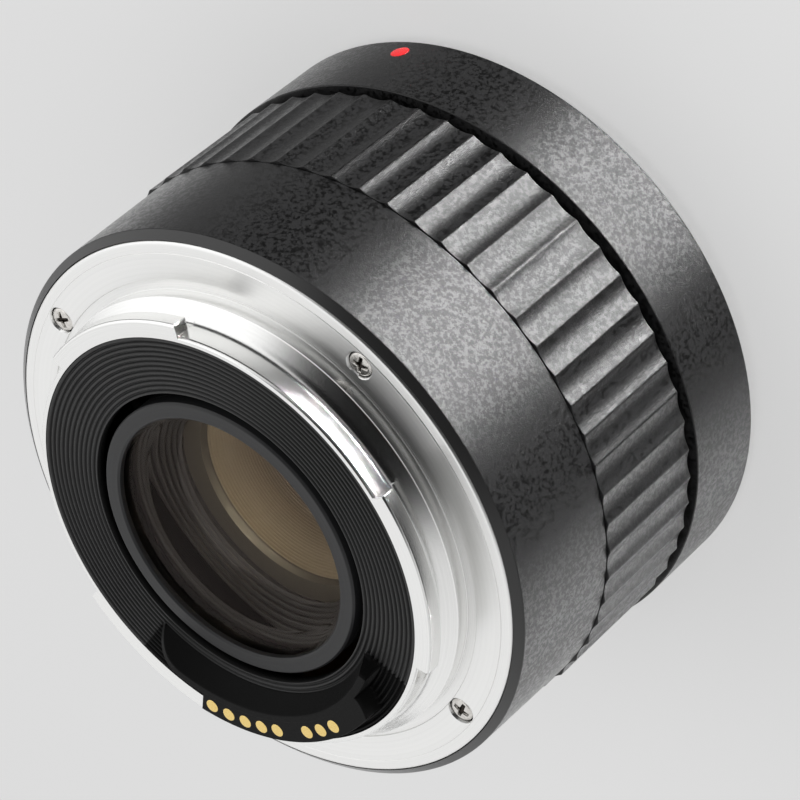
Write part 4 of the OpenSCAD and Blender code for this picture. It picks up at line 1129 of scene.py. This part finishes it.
rings = {
    "rearRetainingRing": ("rear_retaining_ring", [
        (15.01, 43.9, 0.05), (15.55, 43.9, 0.05), (15.55, 45.61, 0.05), (16.6, 45.61, 0.05),
        (16.6, 47.1, 0.05), (16.38, 47.35, 0.07), (14.87, 47.35, 0.06), (14.65, 47.13, 0.06),
        (14.65, 46.55, 0.05), (15.01, 46.55, 0.05)]),
    "frontRetainingRing": ("front_retaining_ring", [
        (12.2, 9.15, 0.06), (12.45, 8.9, 0.06), (14.95, 8.9, 0.07), (15.2, 9.15, 0.07), (15.2, 10.44, 0.05),
        (13.55, 10.44, 0.05), (13.55, 12.54, 0.05), (12.2, 12.54, 0.05)]),
}
spacers = {
    "rearSpacer": {"node": "rear_spacer", "outerR": 15.55, "footR": 12.95, "headR": 14.35, "foot": 35.96,
                   "head": 39.34, "ridges": 6, "depth": 0.35, "finish": "spacerBrown"},
    "frontSpacer": {"node": "front_spacer", "outerR": 13.55, "footR": 8.2, "headR": 12.2, "foot": 20.32,
                    "head": 27.94, "ridges": 26, "depth": 0.35, "finish": "spacerBeige"},
}


def makeRings():
    for name, (nodeName, corners) in rings.items():
        part = shell(roundedLoop(corners), evenAngles(cellsRound["ring"]))
        makePiece(name, part, finishes["ringBlack"], [nodeName])


perGroove = 8  # steps along one ridge of a spacer


def makeSpacers():
    # bore widens evenly from foot to head, cut by ridges of depth (1 - cos 2 pi t) / 2
    for name, s in spacers.items():
        t = np.linspace(s["ridges"], 0, s["ridges"] * perGroove + 1)
        share = t / s["ridges"]
        r = s["footR"] + (s["headR"] - s["footR"]) * share + s["depth"] * (1 - np.cos(turn * t)) / 2
        bore = np.stack([r, s["foot"] + (s["head"] - s["foot"]) * share], -1)
        loop = np.concatenate([[(s["outerR"], s["foot"]), (s["outerR"], s["head"])], bore])
        part = shell(loop, evenAngles(cellsRound["spacer"]))
        makePiece(name, part, finishes[s["finish"]], [s["node"]])


# each glass: edge radius, radius of its step behind the ring, then for the lens side and the camera side the
# seat height, clear radius, curve and bulge
glasses = {
    "rearElement": ("rear_element", 15.55, 14.95, (39.4, 13.55, 60, 1), (46.49, 14.3, 130, 1)),
    "rearMeniscus": ("rear_meniscus", 15.55, 0, (29.0, 12.4, 120, 1), (35.9, 12.75, 120, 1)),
    "middleElement": ("middle_element", 13.55, 0, (17.66, 12.2, 80, 1), (20.26, 11.85, 110, -1)),
    "frontFlint": ("front_flint", 13.55, 0, (15.4, 13.2, 40, 1), (17.6, 12.14, 90, 1)),
    "frontCrown": ("front_crown", 13.55, 0, (12.6, 12.14, 44, -1), (15.41, 13.2, 40, 1)),
}
glassEdge = {"stepZ": 43.84, "bevel": 0.1, "guard": 0.14, "stepBevel": 0.05, "land": 0.03, "faceSteps": 40}


def makeGlasses():
    # face height = seat + bulge * (sag(clear) - sag(r)), with sag(r) = R - sqrt(R^2 - r^2)
    g = glassEdge
    for name, (nodeName, edge, step, low, high) in glasses.items():
        sides = []
        for seat, clear, curve, bulge in (low, high):
            r = np.linspace(0, clear, g["faceSteps"])
            sides.append(np.stack([r, seat + bulge * (sag(clear, curve) - sag(r, curve))], -1))
        foot, head = low[0], g["stepZ"] if step else high[0]
        rim = [(low[1] + g["land"], foot), (edge - g["guard"], foot), (edge - g["bevel"], foot),
               (edge, foot + g["bevel"]), (edge, foot + g["guard"]), (edge, head - g["guard"]),
               (edge, head - g["bevel"]), (edge - g["bevel"], head)]
        if step:
            rim += [(step + g["stepBevel"], head), (step, head + g["stepBevel"]),
                    (step, high[0] - g["bevel"]), (step - g["bevel"], high[0])]
        else:
            rim += [(edge - g["guard"], head), (high[1] + g["land"], head)]
        line = np.concatenate([sides[0], rim, sides[1][::-1]])
        makePiece(name, spun(line, cellsRound["glass"]), finishes["glass"], [nodeName])


makeRings()
makeSpacers()
makeGlasses()
print("rings, spacers and glass made")


# Index dots

dots = {
    "lensIndexDot": ("lens_index_dot", 34.4, 90.5, 2.75),
    "cameraIndexDot": ("camera_index_dot", 33.5, 150.0, 38.8),
}
dotShape = {"r": 1.05, "domeR": 0.97, "crown": 0.078, "fall": 0.05, "depth": 0.45, "bevel": 0.02, "steps": 10}


def makeDots():
    # a shallow dome, z = crown - fall (p / R)^2, that stands on the wall
    s = dotShape
    p = np.linspace(0, s["domeR"], s["steps"])[::-1]
    dome = np.stack([p, s["crown"] - s["fall"] * (p / s["r"]) ** 2], -1)
    wallSide = [(0, -s["depth"]), (s["r"], -s["depth"]), (s["r"], 0.0), (s["r"] - s["bevel"], s["bevel"])]
    one = spun(np.concatenate([wallSide, dome]), cellsRound["dot"])
    for name, (nodeName, wall, degrees, height) in dots.items():
        standing = moved(one, (wall, 0, 0), (0, 1, 0), (0, 0, 1))
        part = onCircle(standing, 0.0, degrees, height)
        makePiece(name, part, finishes["red"], [nodeName])


makeDots()
print("dots made")


# Front side: light shield, pins, lock and release

shield = {
    "innerR": 16.0, "ridgeIn": 16.3, "ridgeOut": 25.2, "outerR": 27.2, "face": 9.0, "back": 10.15,
    "ridges": 16, "depth": 0.32, "sharp": 1.7, "cellsPer": 0.55, "cut": (-120.5, -52.5), "cutIn": 19.6,
    "cutOut": 25.0, "perCell": 10,
}


def makeShield():
    # face height = face + depth ((1 - cos 2 pi t) / 2) ** sharp over each ridge; three runs leave the opening
    # for the contacts
    b = shield

    def face(first, last):
        t = np.linspace(0, 1, b["perCell"] * int(round((last - first) / b["cellsPer"])) + 1)
        r = first + (last - first) * t
        phase = (r - b["ridgeIn"]) / (b["ridgeOut"] - b["ridgeIn"]) * b["ridges"]
        inside = (r > b["ridgeIn"]) & (r < b["ridgeOut"])
        z = b["face"] + inside * b["depth"] * ((1 - np.cos(turn * phase)) / 2) ** b["sharp"]
        return np.stack([r, z], -1)

    def band(first, last):
        return np.concatenate([face(first, last), [(last, b["back"]), (first, b["back"])]])

    inner = shell(band(b["innerR"], b["cutIn"]), evenAngles(cellsRound["ring"]))
    middle = sector(band(b["cutIn"], b["cutOut"]), outsideCut(b["cut"]))
    outer = shell(band(b["cutOut"], b["outerR"]), evenAngles(cellsRound["ring"]))
    part = joined([inner, middle, outer])
    makePiece("frontLightShield", part, finishes["plastic"], ["front_light_shield"])


pin = {"r": 0.6, "tip": 7.0, "top": 12.8, "collarR": 0.92, "collar": (10.6, 11.3), "tipSteps": 8}


def makePins():
    p = pin
    a = np.linspace(0, np.pi / 2, p["tipSteps"])
    tip = np.stack([p["r"] * np.sin(a), p["tip"] + p["r"] - p["r"] * np.cos(a)], -1)
    line = np.concatenate([tip, [
        (p["r"], p["collar"][0]), (p["collarR"], p["collar"][0]), (p["collarR"], p["collar"][1]),
        (p["r"], p["collar"][1]), (p["r"], p["top"]), (0, p["top"])]])
    one = spun(line, cellsRound["pin"])
    for number, angle in enumerate(contactAngles(), 1):
        makePiece("contactPin%d" % number, onCircle(one, contacts["orbit"], angle), finishes["gold"],
                  ["contact_pin_%d" % number], "contact_probe_%d" % number)


release = {
    "orbit": 29.75, "pinR": 1.2, "pinTip": -1.3, "pinTop": 7.7,
    "tipEdge": ((0.3, 0.0), (0.22, 0.04), (0.04, 0.22), (0.0, 0.3)),
    "armHalf": 2.2, "armX": (-35.2, -28.2), "armZ": (4.1, 5.5), "armRound": 0.12,
    "padX": (-35.8, -34.7), "padHalf": 4.2, "padZ": (1.9, 8.4), "padRound": 0.32,
    "ribX": (-36.15, -35.6), "ribHalf": 3.2, "ribFoot": 2.95, "ribStep": 1.3, "ribW": 0.6, "ribs": 4,
    "ribRound": 0.22,
}


midGap = 1e-4  # radians, keeps the rows of a pillow off its mid-planes


def pillow(low, high, rounding, steps=28):
    # ball of the rounding's radius, cut at its three mid-planes and pulled apart to fill the box
    low, high = np.array(low, float), np.array(high, float)
    polar = np.concatenate([np.linspace(0, np.pi / 2, steps // 2), np.linspace(np.pi / 2, np.pi, steps // 2)])
    polar[steps // 2 - 1] -= midGap
    polar[steps // 2] += midGap
    quarter = np.linspace(midGap, np.pi / 2 - midGap, steps // 4)
    around = (quarter + np.arange(4)[:, None] * np.pi / 2).ravel()
    p, q = polar[::-1, None], around[None, :]
    way = np.stack([np.sin(p) * np.cos(q), np.sin(p) * np.sin(q), np.cos(p) + 0 * q], -1)
    signs = np.where(way >= 0, 1.0, -1.0)
    signs[..., 0] = np.sign(np.cos(q))
    signs[..., 1] = np.sign(np.sin(q))
    half = (high - low) / 2
    points = (low + high) / 2 + signs * (half - rounding) + way * rounding
    rows, columns = points.shape[:2]
    head = np.arange(columns) + (rows - 1) * columns
    return points.reshape(-1, 3), gridFaces(rows, columns, False), [np.arange(columns)[::-1], head]


def makeRelease():
    r = release
    edge = [(r["pinR"] - inset, r["pinTip"] + rise) for inset, rise in r["tipEdge"]]
    line = np.array([(0, r["pinTip"]), *edge, (r["pinR"], r["pinTop"]), (0, r["pinTop"])])
    lock = onCircle(spun(line, cellsRound["lock"]), r["orbit"], 180)
    makePiece("lockPin", lock, finishes["steel"], ["lock_pin"], "lens_release")

    def bar(xSpan, half, zSpan, rounding):
        return pillow((xSpan[0], -half, zSpan[0]), (xSpan[1], half, zSpan[1]), rounding)

    parts = [bar(r["padX"], r["padHalf"], r["padZ"], r["padRound"]),
             bar(r["armX"], r["armHalf"], r["armZ"], r["armRound"])]
    for foot in r["ribFoot"] + r["ribStep"] * np.arange(r["ribs"]):
        parts.append(bar(r["ribX"], r["ribHalf"], (foot, foot + r["ribW"]), r["ribRound"]))
    makePiece("releaseSlider", joined(parts), finishes["plastic"], ["release_slider"],
              "lens_release")


springs = {
    "turns": 5, "around": 24, "sides": 8,
    "pinCoil": (0.8, 0.09), "pinSpan": (11.32, 14.98), "pinTravel": 1.0,
    "lockCoil": (1.55, 0.2), "lockSpan": (5.52, 10.18), "lockTravel": 2.0,
}


def coil(coilRadius, wire, foot, head):
    # wire of radius w on a coil of radius R: r = R + w cos b, z = foot + w + rise a + w sin b, where a goes
    # along the wire and b round it
    s = springs
    along = np.linspace(0, turn * s["turns"], s["turns"] * s["around"] + 1)
    b = evenAngles(s["sides"])[:, None]
    rise = (head - foot - 2 * wire) / along[-1]
    radius = coilRadius + wire * np.cos(b) + 0 * along
    return sector(np.stack([radius, foot + wire + rise * along + wire * np.sin(b)], -1), along)


def makeSpring(name, part, finishName, nodeName):
    # the spring is made on the converter body with a mesh of its own
    piece = makePiece(name, part, finishes[finishName], [nodeName])
    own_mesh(piece)


def makeSprings():
    s = springs
    one = coil(*s["pinCoil"], *s["pinSpan"])
    for number, angle in enumerate(contactAngles(), 1):
        part = onCircle(one, contacts["orbit"], angle)
        makeSpring("contactSpring%d" % number, part, "bronze", "contact_spring_%d" % number)
    lock = onCircle(coil(*s["lockCoil"], *s["lockSpan"]), release["orbit"], 180)
    makeSpring("lockSpring", lock, "steel", "lock_spring")


makeShield()
makePins()
makeRelease()
makeSprings()
print("light shield, pins, release and springs made")


# Finishes of the CAD nodes that stay

kept = {
    "main_chassis": "tubeBlack", "optics_tube": "tubeBlack", "rear_baffle_screws": "steel",
    "contact_block_screws": "steel", "optics_tube_screws": "steel", "mount_springs": "bronze",
    "front_contact_block": "plastic", "circuit_board": "board", "control_chips": "chip",
    "flex_circuit": "film",
}
for nodeName, finishName in kept.items():
    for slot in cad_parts[nodeName].material_slots:
        slot.link = "OBJECT"
        slot.material = finishes[finishName]
print("finishes set on", len(kept), "nodes that stay")

bpy.context.view_layer.update()
